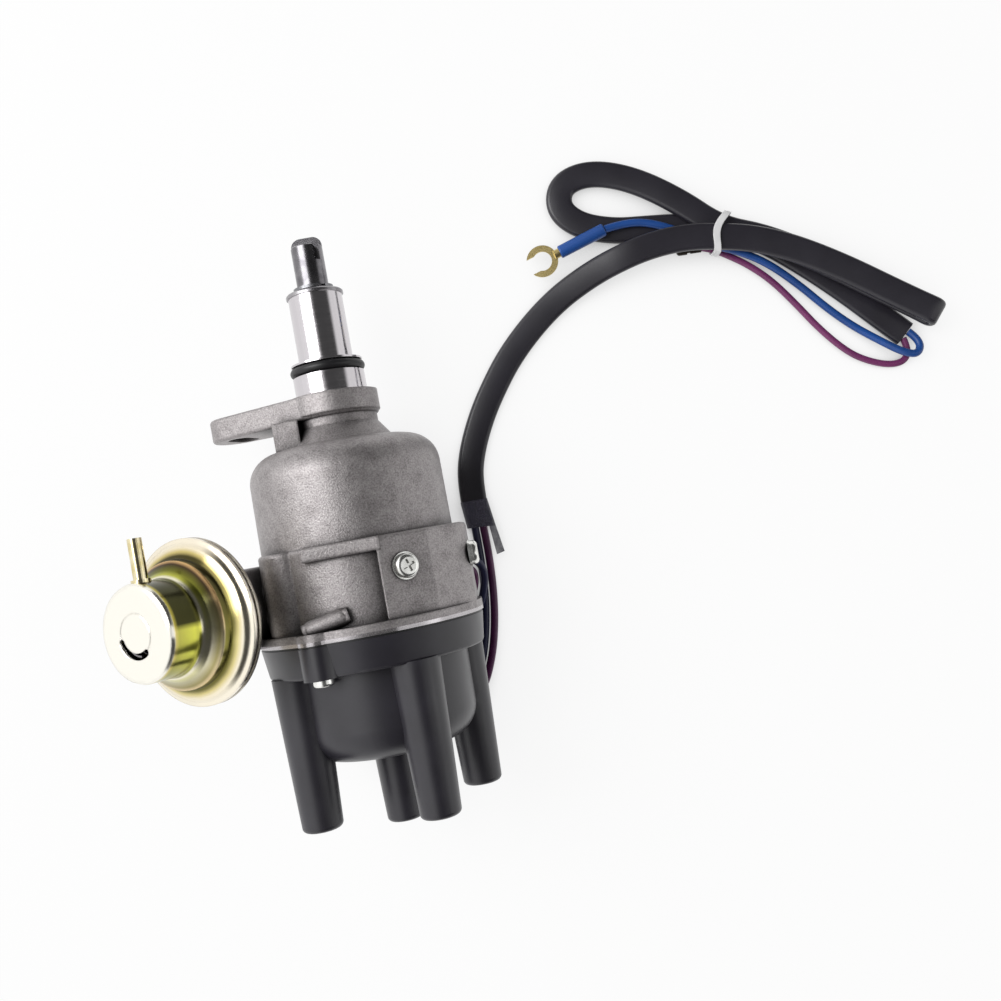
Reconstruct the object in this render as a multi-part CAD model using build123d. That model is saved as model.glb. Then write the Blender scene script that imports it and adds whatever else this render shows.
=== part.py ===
from build123d import *
import os
from math import atan2, cos, degrees, hypot, radians, sin, tan

# Breakerless ignition distributor of a four-cylinder engine, lying on its side with its
# wiring harness bundled beside it.
#
# Frame of the finished part: the origin is on the shaft axis at the mounting seat, +Y runs
# along the shaft towards the drive end, and +Z is up from the surface that it lies on.
# Everything but the harness is first modelled upright, with the shaft on Z and the drive end
# up, and is then laid down.  Places round the shaft are given as clock angles in degrees,
# counted from the side that faces up once the part lies down, positive towards +X.

# ---------------------------------------------------------------- driving dimensions (mm)
# Shaft and its bearings
shaft_radius = 6.3
shaft_running_clearance = 0.04
bush_wall = 2.0
bush_length = 16.0
tip_radius = 6.0
tip_flat_end = 58.3            # end of the short prong of the drive fork
prong_rise = 3.7               # how much further the long prong reaches
prong_round = 3.6
fork_slot_start = 3.0
fork_slot_width = 2.0
fork_slot_depth = 6.5
groove_station = 41.6
groove_width = 1.1
groove_depth = 0.8
circlip_outer_radius = 7.6
washer_radius = 10.9
washer_thickness = 1.5
washer_bore_clearance = 0.05

# Spigot that enters the engine
neck_tube_radius = 10.3
neck_tube_end = 38.6
pilot_radius = 13.6
pilot_length = 13.0
ring_groove_station = 10.2
ring_section_radius = 2.0      # the ring is drawn pressed flush, as in the engine's bore

# Mounting collar and arm
collar_radius = 17.2
arm_thickness = 9.0
arm_reach = 53.0
arm_end_radius = 10.5
arm_clock = -108.0
arm_slot_width = 8.6
arm_slot_length = 15.0
arm_slot_centre = 41.0
post_width = 9.6
post_depth = 12.0
post_reach = 17.2              # distance of the post's middle from the shaft axis

# Bell of the housing
throat_radius = 15.2
neck_flare = 5.5               # how much wider the neck is where it meets the bell
bell_top = -19.0
bell_radius = 36.4
bell_draft = 0.35
bell_shoulder = 11.5
bell_wall = 3.6
bell_base = -56.0

# Base of the housing
base_radius = 38.6
base_wall = 3.6
facet_rise = 1.2               # height over the base of the facet under the front screw
side_pad_rise = 2.4            # height over the base of the squared pad beside the leads
grommet_rise = 4.8
seam = -89.5
flange_rim = 4.0               # how far the flange stands outside the base
flange_thickness = 4.0
rest_flat = 0.6                # how deep the flat that the part lies on cuts the flange
screw_lug_radius = 6.9
screw_lug_inset = 4.2          # from the flange's edge to the middle of a lug
screw_lug_clocks = (-23.5, 156.5)

# Cap
gasket_thickness = 0.8
skirt_step = 0.4               # how far the skirt stands inside the flange
skirt_draft = 1.6
skirt_height = 11.4
bowl_radius = 34.2
bowl_draft = 0.8
bowl_end = -134.8
bowl_corner = 12.0
cap_wall = 3.4
tower_reach = 32.8
tower_radius = 7.45
tower_root_radius = 9.4
tower_end = -157.0
tower_clocks = (-58.5, 29.5, 113.0, 182.0)
tower_bore_radius = 4.3
tower_bore_depth = 22.0
centre_tower_radius = 6.9
centre_tower_root_radius = 8.0
centre_tower_end = -162.5
tower_round = 1.8
terminal_radius = 2.6
cap_screw_radius = 2.5
cap_screw_head_radius = 3.9
cap_screw_head_height = 2.8
cap_screw_grip = 3.0           # thread in the flange below the seam

# Vacuum canister
canister_clock = -31.0
rod_offset = 26.0              # from the shaft axis to the line of the pull rod
canister_station = -74.2
canister_flange_place = 62.2   # along the rod's line from its nearest point to the shaft
canister_flange_radius = 29.1
canister_step_radius = 22.4
canister_barrel_radius = 16.6
canister_depth = 26.0
barrel_length = 13.0
vent_radius = 7.2              # of the curved vent slot in the canister's face
vent_width = 2.3
vent_from = 106.0              # degrees round the face, from the drive end's side
vent_to = 211.0
canister_sheet = 1.0
canister_neck_radius = 7.4
canister_ear_reach = 10.8
canister_screw_radius = 1.6
canister_neck_bore = 5.0
canister_neck_start = 41.0
rod_width = 4.4
rod_thickness = 1.6
rod_pin_radius = 1.8
rod_eye_radius = 4.2
nipple_radius = 2.4
nipple_bore = 1.3
nipple_length = 15.5
nipple_place = 20.0            # from the canister's flange
nipple_foot_radius = 3.3
nipple_foot_height = 0.9

# Advance mechanism inside the bell
governor_plate_station = -46.0
governor_plate_radius = 25.0
governor_plate_thickness = 2.0
weight_thickness = 4.4
weight_pivot_reach = 18.5
weight_pin_radius = 1.6
weight_swing = 14.0
centrifugal_advance = 11.0
layer_gap = 0.3                # running gap between plates that turn over each other
cam_plate_thickness = 2.2
cam_sleeve_radius = 9.2
spring_radius = 1.5

# Magnetic pickup
base_plate_station = -66.0     # drive-end face of the fixed plate
pickup_plate_radius = 29.5
plate_thickness = 2.0
plate_bearing_radius = 15.0
plate_bearing_wall = 1.6
vacuum_advance = 10.0
pole_count = 4
reluctor_radius = 11.5
reluctor_tooth = 5.0
reluctor_height = 6.0
air_gap = 0.4
stator_radius = 20.0
stator_wall = 4.0
stator_height = 4.0
coil_height = 2.6
magnet_height = 2.0

# Rotor arm
sleeve_end = -94.0             # cap end of the sleeve that carries reluctor and rotor
shaft_end = -91.0
rotor_hub_radius = 11.4
rotor_hub_start = -86.0
rotor_face = -106.0
rotor_tip_reach = 25.4
rotor_blade_thickness = 1.4
rotor_blade_width = 7.0
spark_gap = 0.8
brush_radius = 2.2
brush_bore_clearance = 0.08

# Lead grommet
grommet_radius = 5.6
grommet_clock = 128.0
grommet_station = -72.0

# Harness, lying on the surface beside the distributor
tube_width = 11.0
tube_thickness = 3.4
blue_lead_diameter = 3.2
purple_lead_diameter = 2.8
pickup_lead_diameter = 3.2
layer_1 = 3.3                  # heights of the crossing layers above the surface
layer_2 = 7.0
layer_3 = 10.8
fold_height = 12.9
lead_spacing = 1.8             # of the two leads from the middle of the tube's mouth
tie_width = 3.2
tie_thickness = 1.0


# ---------------------------------------------------------------- small helpers
def rod(radius, low, high, x=0.0, y=0.0):
    """Cylinder on the shaft's direction from station low to station high."""
    return Pos(x, y, (low + high) / 2) * Cylinder(radius, high - low)


def block(x_low, x_high, y_low, y_high, z_low, z_high):
    middle = Pos((x_low + x_high) / 2, (y_low + y_high) / 2, (z_low + z_high) / 2)
    return middle * Box(x_high - x_low, y_high - y_low, z_high - z_low)


def turned(*profile):
    """Body of revolution about the shaft axis from (radius, station) points."""
    return revolve(Plane.XZ * make_face(Polyline(*profile, close=True)), Axis.Z)


def at_clock(reach, clock):
    """Upright x and y of a place at a clock angle."""
    return reach * sin(radians(clock)), -reach * cos(radians(clock))


def turned_to(clock):
    """Location that turns the +X direction to a clock angle."""
    return Rot(Z=clock - 90)


def lay_down(shape):
    return Rot(X=-90) * shape


pieces = {}


def keep(name, shape, laid_down=True):
    pieces[name] = lay_down(shape) if laid_down else shape


# ---------------------------------------------------------------- places worked out
tip_tall_end = tip_flat_end + prong_rise
flange_radius = base_radius + flange_rim
screw_lug_reach = flange_radius - screw_lug_inset
facet_reach = base_radius + facet_rise
side_pad_reach = base_radius + side_pad_rise
rest_height = flange_radius - rest_flat      # from the shaft axis to the surface below
skirt_radius = flange_radius - skirt_step
cap_face = seam - gasket_thickness
skirt_end = cap_face - skirt_height
housing_bore = shaft_radius + shaft_running_clearance + bush_wall
bell_inner = bell_radius - bell_wall
base_inner = base_radius - base_wall
rod_foot = at_clock(rod_offset, canister_clock - 90)
canister_frame = Plane(
    origin=(*rod_foot, canister_station),
    x_dir=(0, 0, 1),
    z_dir=(*at_clock(1, canister_clock), 0),
)


def along_rod(shape):
    """Place a shape that is modelled with the canister's axis on Z."""
    return canister_frame.location * shape


base_screw_station = -68.0
facet_clock = 29.0
base_screw_places = (
    (at_clock(facet_reach + 0.1, facet_clock), facet_clock),
    ((side_pad_reach, -10.0), 90.0),
)


def outward(place, clock, station):
    """Location on the base's side whose Z points outward at a clock angle."""
    return Plane(origin=(*place, station), z_dir=(*at_clock(1, clock), 0), x_dir=(0, 0, 1)).location


grommet_place = at_clock(base_radius + grommet_rise, grommet_clock)


# ---------------------------------------------------------------- housing
def cast_bell():
    neck = turned(
        (0, 0), (collar_radius, 0), (collar_radius, 1.5 - arm_thickness),
        (throat_radius + 0.4, -arm_thickness), (throat_radius + 0.4, -arm_thickness - 3),
        (throat_radius + neck_flare, bell_top), (throat_radius + neck_flare, bell_top - 4),
        (0, bell_top - 4),
    )
    bell = turned(
        (0, bell_top), (bell_radius - bell_draft, bell_top), (bell_radius, bell_base - 1),
        (0, bell_base - 1),
    )
    bell = fillet(bell.edges().sort_by(Axis.Z)[-1], bell_shoulder)
    return neck + bell


def mounting_arm():
    """Flat arm with a slot across it."""
    outline = make_hull(
        (Circle(collar_radius - 0.6) + Pos(arm_reach - arm_end_radius) * Circle(arm_end_radius)).edges()
    )
    plate = Pos(0, 0, -arm_thickness) * extrude(outline, arm_thickness)
    plate = fillet(plate.edges().filter_by(Axis.Z, reverse=True).filter_by_position(
        Axis.X, collar_radius, arm_reach + 1), 1.2)
    slot = SlotOverall(arm_slot_length, arm_slot_width, rotation=90)
    plate -= Pos(arm_slot_centre, 0, -arm_thickness) * extrude(slot, arm_thickness)
    return turned_to(arm_clock) * plate


def casting_post():
    x_middle = -post_reach
    return block(
        x_middle - post_width / 2, x_middle + post_width / 2,
        -post_depth - 3, -3, bell_top - bell_shoulder, 0.5 - arm_thickness,
    )


def base_outline():
    """Section of the base: a round core, a squared pad and the flat that it lies on."""
    core = Circle(base_radius - 1.2)
    barrel_x, barrel_y = at_clock(base_radius - 6.2, -47.5)
    barrel = Pos(barrel_x, barrel_y) * Circle(9.6)
    facet_x, facet_y = at_clock(facet_reach, facet_clock)
    lead_x, lead_y = grommet_place
    along_x, along_y = at_clock(7.4, grommet_clock - 90)
    pad = make_face(Polyline(
        (12.5, 0), (facet_x - 8.2, facet_y - 4.5), (facet_x + 9.2, facet_y + 5.1),
        (side_pad_reach - 3.2, -19.0), (side_pad_reach, -13.0), (side_pad_reach, 12.0),
        (lead_x + along_x, lead_y + along_y), (lead_x - along_x, lead_y - along_y),
        (25.0, rest_height), (-24.0, rest_height), (-27.0, 30.0), (0, 0), close=True,
    ))
    return core + barrel + pad


def flange_outline():
    plate = Circle(flange_radius)
    for clock in screw_lug_clocks:
        plate += Pos(*at_clock(screw_lug_reach, clock)) * Circle(screw_lug_radius)
    below = Pos(0, rest_height + 20) * Rectangle(200, 40)
    return plate - below


def make_housing():
    body = cast_bell() + mounting_arm() + casting_post()
    base = Pos(0, 0, seam + 1) * extrude(base_outline(), bell_base - seam - 1)
    base = fillet(base.edges().group_by(Axis.Z)[-1], 1.4)
    ledge = block(-15, 12.5, -base_radius - 0.8, -20, bell_base - 5, bell_base)
    ledge = fillet(ledge.edges().filter_by(Axis.X), 1.0)
    flange = Pos(0, 0, seam) * extrude(flange_outline(), flange_thickness)
    foot = fillet(Box(17, 5, 5.2).edges().filter_by(Axis.X), 1.6)
    foot = Pos(-10.5, 1.4 - base_radius, seam + flange_thickness + 2.6) * Rot(Y=-12) * foot
    spigot = rod(pilot_radius, 0, pilot_length) + rod(neck_tube_radius, 0, neck_tube_end)
    body = body + base + ledge + flange + foot + spigot

    # Canister boss on the side of the base
    boss = make_hull((Circle(canister_neck_radius + 3.2) + Pos(canister_ear_reach) * Circle(4.2)
                      + Pos(-canister_ear_reach) * Circle(4.2)).edges())
    body += along_rod(Pos(0, 0, 20) * extrude(boss, canister_neck_start - 20))

    # Inner spaces
    body -= rod(housing_bore, -60, neck_tube_end)
    hollow = turned(
        (0, bell_top - bell_wall), (bell_inner - 1, bell_top - bell_wall), (bell_inner, bell_base),
        (base_inner - 1.2, bell_base), (base_inner - 1.2, seam), (0, seam),
    )
    top_edge = hollow.edges().filter_by(GeomType.CIRCLE).sort_by(Axis.Z)[-1]
    body -= fillet(top_edge, bell_shoulder - bell_wall)
    body += rod(housing_bore + 4, bell_top - bell_wall - 8, bell_top - 1) - rod(
        housing_bore, bell_top - bell_wall - 9, bell_top)
    body -= along_rod(rod(canister_neck_bore, 0, 60))
    for side in (-1, 1):
        body -= along_rod(rod(canister_screw_radius, canister_neck_start - 7, 60, side * canister_ear_reach))

    body -= outward(grommet_place, grommet_clock, grommet_station) * rod(grommet_radius - 1.4, -14, 3)
    for place, clock in base_screw_places:
        body -= outward(place, clock, base_screw_station) * rod(2.0, -5.5, 3)

    # O-ring groove
    groove = rod(pilot_radius + 2, ring_groove_station - ring_section_radius - 0.1,
                 ring_groove_station + ring_section_radius + 0.1)
    groove -= rod(pilot_radius - 2 * ring_section_radius,
                  ring_groove_station - 4, ring_groove_station + 4)
    body -= groove

    # Screw holes of the cap
    for clock in screw_lug_clocks:
        body -= rod(cap_screw_radius, seam - 1, seam + cap_screw_grip, *at_clock(screw_lug_reach, clock))
    return body


# ---------------------------------------------------------------- spigot fittings
def make_o_ring():
    centre_radius = pilot_radius - ring_section_radius
    return Pos(0, 0, ring_groove_station) * Torus(centre_radius, ring_section_radius)


def make_bush(low):
    bore = shaft_radius + shaft_running_clearance
    return rod(housing_bore, low, low + bush_length) - rod(bore, low - 1, low + bush_length + 1)


def make_thrust_washer():
    low = neck_tube_end
    bore = shaft_radius + washer_bore_clearance
    ring = rod(washer_radius, low, low + washer_thickness)
    ring = chamfer(ring.edges().sort_by(Axis.Z)[-1], 0.5)
    return ring - rod(bore, low - 1, low + washer_thickness + 1)


# ---------------------------------------------------------------- shaft and advance weights
def make_drive_shaft():
    shaft = rod(shaft_radius, shaft_end, groove_station + groove_width)
    tip = rod(tip_radius, groove_station, tip_flat_end)
    tip = chamfer(tip.edges().sort_by(Axis.Z)[-1], 0.6)
    prong = rod(tip_radius, tip_flat_end - 1, tip_tall_end)
    prong = fillet(prong.edges().sort_by(Axis.Z)[-1], prong_round)
    prong &= block(-10, 10, 0.8, 10, tip_flat_end - 2, tip_tall_end + 1)
    slot = block(fork_slot_start, fork_slot_start + fork_slot_width, -10, 0.8,
                 tip_flat_end - fork_slot_depth, tip_flat_end + 1)
    groove = rod(shaft_radius + 1, groove_station - groove_width / 2, groove_station + groove_width / 2)
    groove -= rod(shaft_radius - groove_depth, groove_station - 3, groove_station + 3)
    return shaft + tip + prong - slot - groove


def make_circlip():
    half = groove_width / 2
    ring = rod(circlip_outer_radius, groove_station - half, groove_station + half)
    ring -= rod(shaft_radius - groove_depth, groove_station - 2, groove_station + 2)
    opening = block(0, 12, -1.4, 1.4, groove_station - 2, groove_station + 2)
    return ring - Rot(Z=-55) * opening


governor_plate_face = governor_plate_station - governor_plate_thickness
weight_top = governor_plate_face - layer_gap
weight_bottom = weight_top - weight_thickness
cam_plate_top = weight_bottom - layer_gap
cam_plate_bottom = cam_plate_top - cam_plate_thickness
weight_pivot_angle = 20.0
weight_pin_reach = 14.0
governor_post_radius = 1.2
governor_post_reach = 23.6
governor_post_angle = -4.0
cam_post_reach = 18.0
cam_post_angle = 60.0
spring_station = cam_plate_bottom - spring_radius - 0.4
post_end = spring_station - spring_radius - 0.3


def polar(reach, angle):
    return reach * cos(radians(angle)), reach * sin(radians(angle))


def make_governor_plate():
    plate = rod(governor_plate_radius, governor_plate_face, governor_plate_station)
    plate += rod(9.0, governor_plate_station - 0.01, governor_plate_station + 4.0)
    plate -= rod(shaft_radius, -60, -30)
    for turn in (0, 180):
        pivot = polar(weight_pivot_reach, weight_pivot_angle + turn)
        post = polar(governor_post_reach, governor_post_angle + turn)
        plate -= rod(weight_pin_radius, -60, -30, *pivot)
        plate += rod(governor_post_radius, post_end, governor_plate_face, *post)
    return plate


def make_weight_pivot_pins():
    pins = [
        rod(weight_pin_radius, weight_bottom, governor_plate_station,
            *polar(weight_pivot_reach, weight_pivot_angle + turn))
        for turn in (0, 180)
    ]
    return Compound(children=pins)


def make_weight(turn):
    """Crescent weight with its pivot near one end and its drive pin at the middle."""
    outer = rod(22.0, weight_bottom, weight_top) - rod(11.6, weight_bottom - 1, weight_top + 1)
    wedge = Polyline((0, 0), polar(60, 11), polar(60, 60), polar(60, 110), polar(60, 160), close=True)
    sector = Pos(0, 0, weight_bottom - 1) * extrude(make_face(wedge), weight_thickness + 2)
    weight = outer & sector
    weight -= rod(weight_pin_radius + shaft_running_clearance, weight_bottom - 1, weight_top + 1,
                  *polar(weight_pivot_reach, weight_pivot_angle))
    weight += rod(weight_pin_radius, cam_plate_bottom, weight_bottom, *polar(weight_pin_reach, 90))
    return Rot(Z=turn) * weight


def make_rotor_sleeve():
    """Sleeve over the shaft, with the slotted plate that the weights turn."""
    sleeve = rod(cam_sleeve_radius, sleeve_end, cam_plate_top)
    sleeve += rod(21.5, cam_plate_bottom, cam_plate_top)
    sleeve -= rod(shaft_radius + shaft_running_clearance, sleeve_end - 1, cam_plate_top + 1)
    pin_start = polar(weight_pin_reach, 90)
    pivot = polar(weight_pivot_reach, weight_pivot_angle)
    swing = radians(-weight_swing)
    arm = (pin_start[0] - pivot[0], pin_start[1] - pivot[1])
    pin_end = (pivot[0] + arm[0] * cos(swing) - arm[1] * sin(swing),
               pivot[1] + arm[0] * sin(swing) + arm[1] * cos(swing))
    reach = hypot(*pin_end)
    angle = degrees(atan2(pin_end[1], pin_end[0])) + centrifugal_advance
    slot_end = polar(reach, angle)
    for turn in (0, 180):
        slot = make_hull(
            (Pos(*pin_start) * Circle(weight_pin_radius + layer_gap)
             + Pos(*slot_end) * Circle(weight_pin_radius + layer_gap)).edges())
        slot = Pos(0, 0, cam_plate_bottom - 1) * extrude(slot, cam_plate_thickness + 2)
        sleeve -= Rot(Z=turn) * slot
        post = polar(cam_post_reach, cam_post_angle + turn)
        sleeve += rod(governor_post_radius, post_end, cam_plate_bottom, *post)
    return sleeve


def make_governor_springs():
    springs = []
    for turn in (0, 180):
        start = Vector(*polar(governor_post_reach, governor_post_angle + turn), spring_station)
        end = Vector(*polar(cam_post_reach, cam_post_angle + turn), spring_station)
        span = end - start
        length = span.length - 2 * governor_post_radius - 0.3
        place = Plane(origin=(start + end) * 0.5, z_dir=span.normalized()).location
        springs.append(place * Cylinder(spring_radius, length))
    return Compound(children=springs)


# ---------------------------------------------------------------- pickup
moving_plate_top = base_plate_station - plate_thickness - layer_gap
moving_plate_bottom = moving_plate_top - plate_thickness
coil_top = moving_plate_bottom
magnet_top = coil_top - coil_height
stator_top = magnet_top - magnet_height
stator_bottom = stator_top - stator_height
reluctor_top = stator_top + 1.0
pin_clock = canister_clock - 90 - vacuum_advance / 2


def make_pickup_base_plate():
    rim = rod(base_inner - 1.2, base_plate_station - 4, base_plate_station)
    rim -= rod(pickup_plate_radius + 1.0, base_plate_station - 5, base_plate_station - plate_thickness)
    rim -= rod(plate_bearing_radius + shaft_running_clearance, base_plate_station - 5, base_plate_station + 1)
    return rim


def make_pickup_plate():
    plate = rod(pickup_plate_radius, moving_plate_bottom, moving_plate_top)
    plate += rod(plate_bearing_radius, moving_plate_bottom, base_plate_station)
    plate -= rod(plate_bearing_radius - plate_bearing_wall, moving_plate_bottom - 1, base_plate_station + 1)
    plate += rod(rod_pin_radius, canister_station - rod_thickness, moving_plate_bottom,
                 *at_clock(rod_offset, pin_clock))
    return plate


def ring(outer, inner, low, high):
    return rod(outer, low, high) - rod(inner, low - 1, high + 1)


def make_pickup_coil():
    return ring(stator_radius - 0.6, plate_bearing_radius - plate_bearing_wall, magnet_top, coil_top)


def make_ring_magnet():
    return ring(stator_radius, stator_radius - stator_wall, stator_top, magnet_top)


def make_stator():
    poles = ring(stator_radius, stator_radius - stator_wall, stator_bottom, stator_top)
    tip = reluctor_radius + air_gap
    for index in range(pole_count):
        pole = block(tip - 1, stator_radius - 1, -reluctor_tooth / 2, reluctor_tooth / 2,
                     stator_bottom, stator_top)
        poles += Rot(Z=360 / pole_count * index) * pole
    return poles - rod(tip, stator_bottom - 1, stator_top + 1)


def make_reluctor():
    """Toothed wheel on the sleeve; its teeth stand between the poles at rest."""
    wheel = rod(cam_sleeve_radius + 0.9, reluctor_top - reluctor_height, reluctor_top)
    for index in range(pole_count):
        tooth = block(0, reluctor_radius, -reluctor_tooth / 2, reluctor_tooth / 2,
                      reluctor_top - reluctor_height, reluctor_top)
        wheel += Rot(Z=360 / pole_count * (index + 0.5)) * tooth
    wheel &= rod(reluctor_radius, -120, -40)
    return wheel - rod(cam_sleeve_radius, -120, -40)


# ---------------------------------------------------------------- rotor arm
rotor_clock = 29.5


def make_rotor_arm():
    hub = rod(rotor_hub_radius, rotor_face, rotor_hub_start)
    hub = fillet(hub.edges().sort_by(Axis.Z)[0], 1.5)
    arm = block(0, rotor_tip_reach - 4, -5.5, 5.5, rotor_face, rotor_face + 7)
    tail = block(-15, 0, -4, 4, rotor_face, rotor_face + 6)
    body = hub + turned_to(rotor_clock) * (fillet(arm.edges().filter_by(Axis.Z), 1.5) + tail)
    return body - rod(cam_sleeve_radius, sleeve_end, 0)


def make_rotor_blade():
    top = rotor_face
    blade = block(-3.5, rotor_tip_reach, -rotor_blade_width / 2, rotor_blade_width / 2,
                  top - rotor_blade_thickness, top)
    blade &= rod(rotor_tip_reach, -130, -90)
    return turned_to(rotor_clock) * blade


# ---------------------------------------------------------------- cap
cavity_radius = 28.6
cavity_floor = -124.0
brush_boss_radius = 5.2
brush_boss_end = rotor_face - rotor_blade_thickness - 3.4
brush_tip = rotor_face - rotor_blade_thickness - 0.1
brush_back = brush_tip - 13.5
brush_bore_end = -130.0
electrode_station = rotor_face - rotor_blade_thickness / 2
tower_bore_end = tower_end + tower_bore_depth
centre_bore_end = centre_tower_end + tower_bore_depth


def tower(root_radius, end_radius, root, end):
    """Tapered tower that points away from the drive end, with a rounded mouth."""
    body = Pos(0, 0, (root + end) / 2) * Cone(end_radius, root_radius, root - end)
    return fillet(body.edges().sort_by(Axis.Z)[0], tower_round)


def terminal_finger(clock, contact_clock):
    """Embedded strap from a tower's stud to the firing place of its cylinder."""
    start = Vector(*at_clock(tower_reach, clock))
    contact = Vector(*at_clock(tower_reach - 1, contact_clock))
    finger = turned_to(contact_clock) * block(
        rotor_tip_reach + spark_gap, tower_reach, -2, 2, electrode_station - 2, electrode_station + 2)
    if abs(clock - contact_clock) > 1:
        span = contact - start
        turn = degrees(atan2(span.Y, span.X))
        middle = (start + contact) * 0.5
        strap = Pos(middle.X, middle.Y, electrode_station) * Rot(Z=turn) * Box(span.length + 2, 3, 4)
        finger += strap
    return finger


contact_clocks = tuple(tower_clocks[0] + 90 * index for index in range(pole_count))


def make_side_terminals():
    terminals = []
    for clock, contact_clock in zip(tower_clocks, contact_clocks):
        stud = rod(terminal_radius, tower_bore_end, electrode_station + 2, *at_clock(tower_reach, clock))
        terminals.append(stud + terminal_finger(clock, contact_clock))
    return Compound(children=terminals)


def make_centre_terminal():
    return rod(terminal_radius, centre_bore_end, brush_bore_end)


def make_cap():
    skirt_foot = skirt_radius - skirt_draft
    bowl_foot = bowl_radius - bowl_draft
    skirt = turned((0, cap_face), (skirt_radius, cap_face), (skirt_foot, skirt_end), (0, skirt_end))
    skirt = fillet(skirt.edges().filter_by(GeomType.CIRCLE).sort_by(Axis.Z)[0], 1.5)
    bowl = turned((0, cap_face), (bowl_radius, cap_face), (bowl_foot, bowl_end), (0, bowl_end))
    bowl = fillet(bowl.edges().filter_by(GeomType.CIRCLE).sort_by(Axis.Z)[0], bowl_corner)
    cap = skirt + bowl
    for clock in screw_lug_clocks:
        cap += rod(screw_lug_radius, skirt_end, cap_face, *at_clock(screw_lug_reach, clock))
    for clock in tower_clocks:
        cap += Pos(*at_clock(tower_reach, clock)) * tower(
            tower_root_radius, tower_radius, skirt_end + 0.8, tower_end)
    cap += tower(centre_tower_root_radius, centre_tower_radius, bowl_end + 4, centre_tower_end)
    cap -= Pos(0, rest_height + 20) * Box(200, 40, 400)

    cavity = turned((0, cap_face), (skirt_radius - cap_wall - 4, cap_face),
                    (skirt_radius - cap_wall - 4.6, skirt_end + 1), (cavity_radius, skirt_end - 2),
                    (cavity_radius - 0.6, cavity_floor), (0, cavity_floor))
    cavity = fillet(cavity.edges().filter_by(GeomType.CIRCLE).sort_by(Axis.Z)[0], 5)
    boss = rod(brush_boss_radius, cavity_floor - 1, brush_boss_end)
    cap -= cavity - boss
    cap -= rod(brush_radius + brush_bore_clearance, brush_bore_end, brush_boss_end + 1)
    cap -= make_centre_terminal()
    cap -= rod(tower_bore_radius - 0.4, centre_tower_end - 1, centre_bore_end)
    for clock, contact_clock in zip(tower_clocks, contact_clocks):
        place = at_clock(tower_reach, clock)
        cap -= rod(tower_bore_radius, tower_end - 1, tower_bore_end, *place)
        cap -= rod(terminal_radius, tower_bore_end - 1, electrode_station + 2, *place)
        cap -= terminal_finger(clock, contact_clock)
    for clock in screw_lug_clocks:
        cap -= rod(cap_screw_radius + 0.2, skirt_end - 1, cap_face + 1, *at_clock(screw_lug_reach, clock))
    return cap


def make_cap_gasket():
    sheet = Circle(flange_radius - 0.6)
    for clock in screw_lug_clocks:
        sheet += Pos(*at_clock(screw_lug_reach, clock)) * Circle(screw_lug_radius - 0.3)
    sheet -= Pos(0, rest_height + 20) * Rectangle(200, 40)
    sheet -= Circle(base_inner)
    for clock in screw_lug_clocks:
        sheet -= Pos(*at_clock(screw_lug_reach, clock)) * Circle(cap_screw_radius + 0.2)
    return Pos(0, 0, cap_face) * extrude(sheet, gasket_thickness)


def make_cap_screws():
    screws = []
    for clock in screw_lug_clocks:
        head = rod(cap_screw_head_radius, skirt_end - cap_screw_head_height, skirt_end)
        head = fillet(head.edges().sort_by(Axis.Z)[0], 1.2)
        head -= block(-5, 5, -0.55, 0.55, skirt_end - 4, skirt_end - cap_screw_head_height + 1.2)
        screw = head + rod(cap_screw_radius, skirt_end - 0.5, seam + cap_screw_grip)
        screws.append(Pos(*at_clock(screw_lug_reach, clock)) * Rot(Z=8) * screw)
    return Compound(children=screws)


def make_carbon_brush():
    return fillet(rod(brush_radius, brush_back, brush_tip).edges().sort_by(Axis.Z)[-1], 0.6)


def make_brush_spring():
    low = brush_bore_end + 0.1
    high = brush_back - 0.1
    return ring(brush_radius - 0.4, brush_radius - 1.0, low, high)


# ---------------------------------------------------------------- vacuum canister
front_start = canister_flange_place + 0.5
face_place = canister_flange_place + canister_depth
barrel_start = face_place - barrel_length
nipple_location = Pos(0, 0, canister_flange_place + nipple_place) * Rot(Y=90)


def make_canister_back_shell():
    sheet = canister_sheet
    flange = canister_flange_place - 0.4
    neck = canister_neck_radius
    shell = turned(
        (canister_neck_bore, canister_neck_start), (neck, canister_neck_start), (neck, flange - 7),
        (canister_flange_radius - 5, flange - 5), (canister_flange_radius - 3.4, flange - sheet),
        (canister_flange_radius, flange - sheet), (canister_flange_radius, flange),
        (canister_flange_radius - 4.2, flange), (canister_flange_radius - 5.9, flange - 4),
        (neck - 1.6, flange - 5.9), (neck - 1.6, canister_neck_start + 3),
        (canister_neck_bore, canister_neck_start + 3),
    )
    ears = Pos(0, 0, canister_neck_start + 1) * Box(2 * canister_ear_reach + 8, 10, 2)
    ears = fillet(ears.edges().filter_by(Axis.Z), 4)
    ears -= rod(canister_neck_bore, canister_neck_start - 1, canister_neck_start + 4)
    for side in (-1, 1):
        ears -= rod(canister_screw_radius + 0.1, canister_neck_start - 1, canister_neck_start + 4,
                    side * canister_ear_reach)
    return along_rod(shell + ears)


def make_canister_screws():
    screws = []
    for side in (-1, 1):
        place = side * canister_ear_reach
        screw = rod(canister_screw_radius, canister_neck_start - 7, canister_neck_start + 3, place)
        head = rod(2.7, canister_neck_start + 2, canister_neck_start + 4.2, place)
        screws.append(along_rod(screw + fillet(head.edges().sort_by(Axis.Z)[-1], 0.8)))
    return Compound(children=screws)


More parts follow.
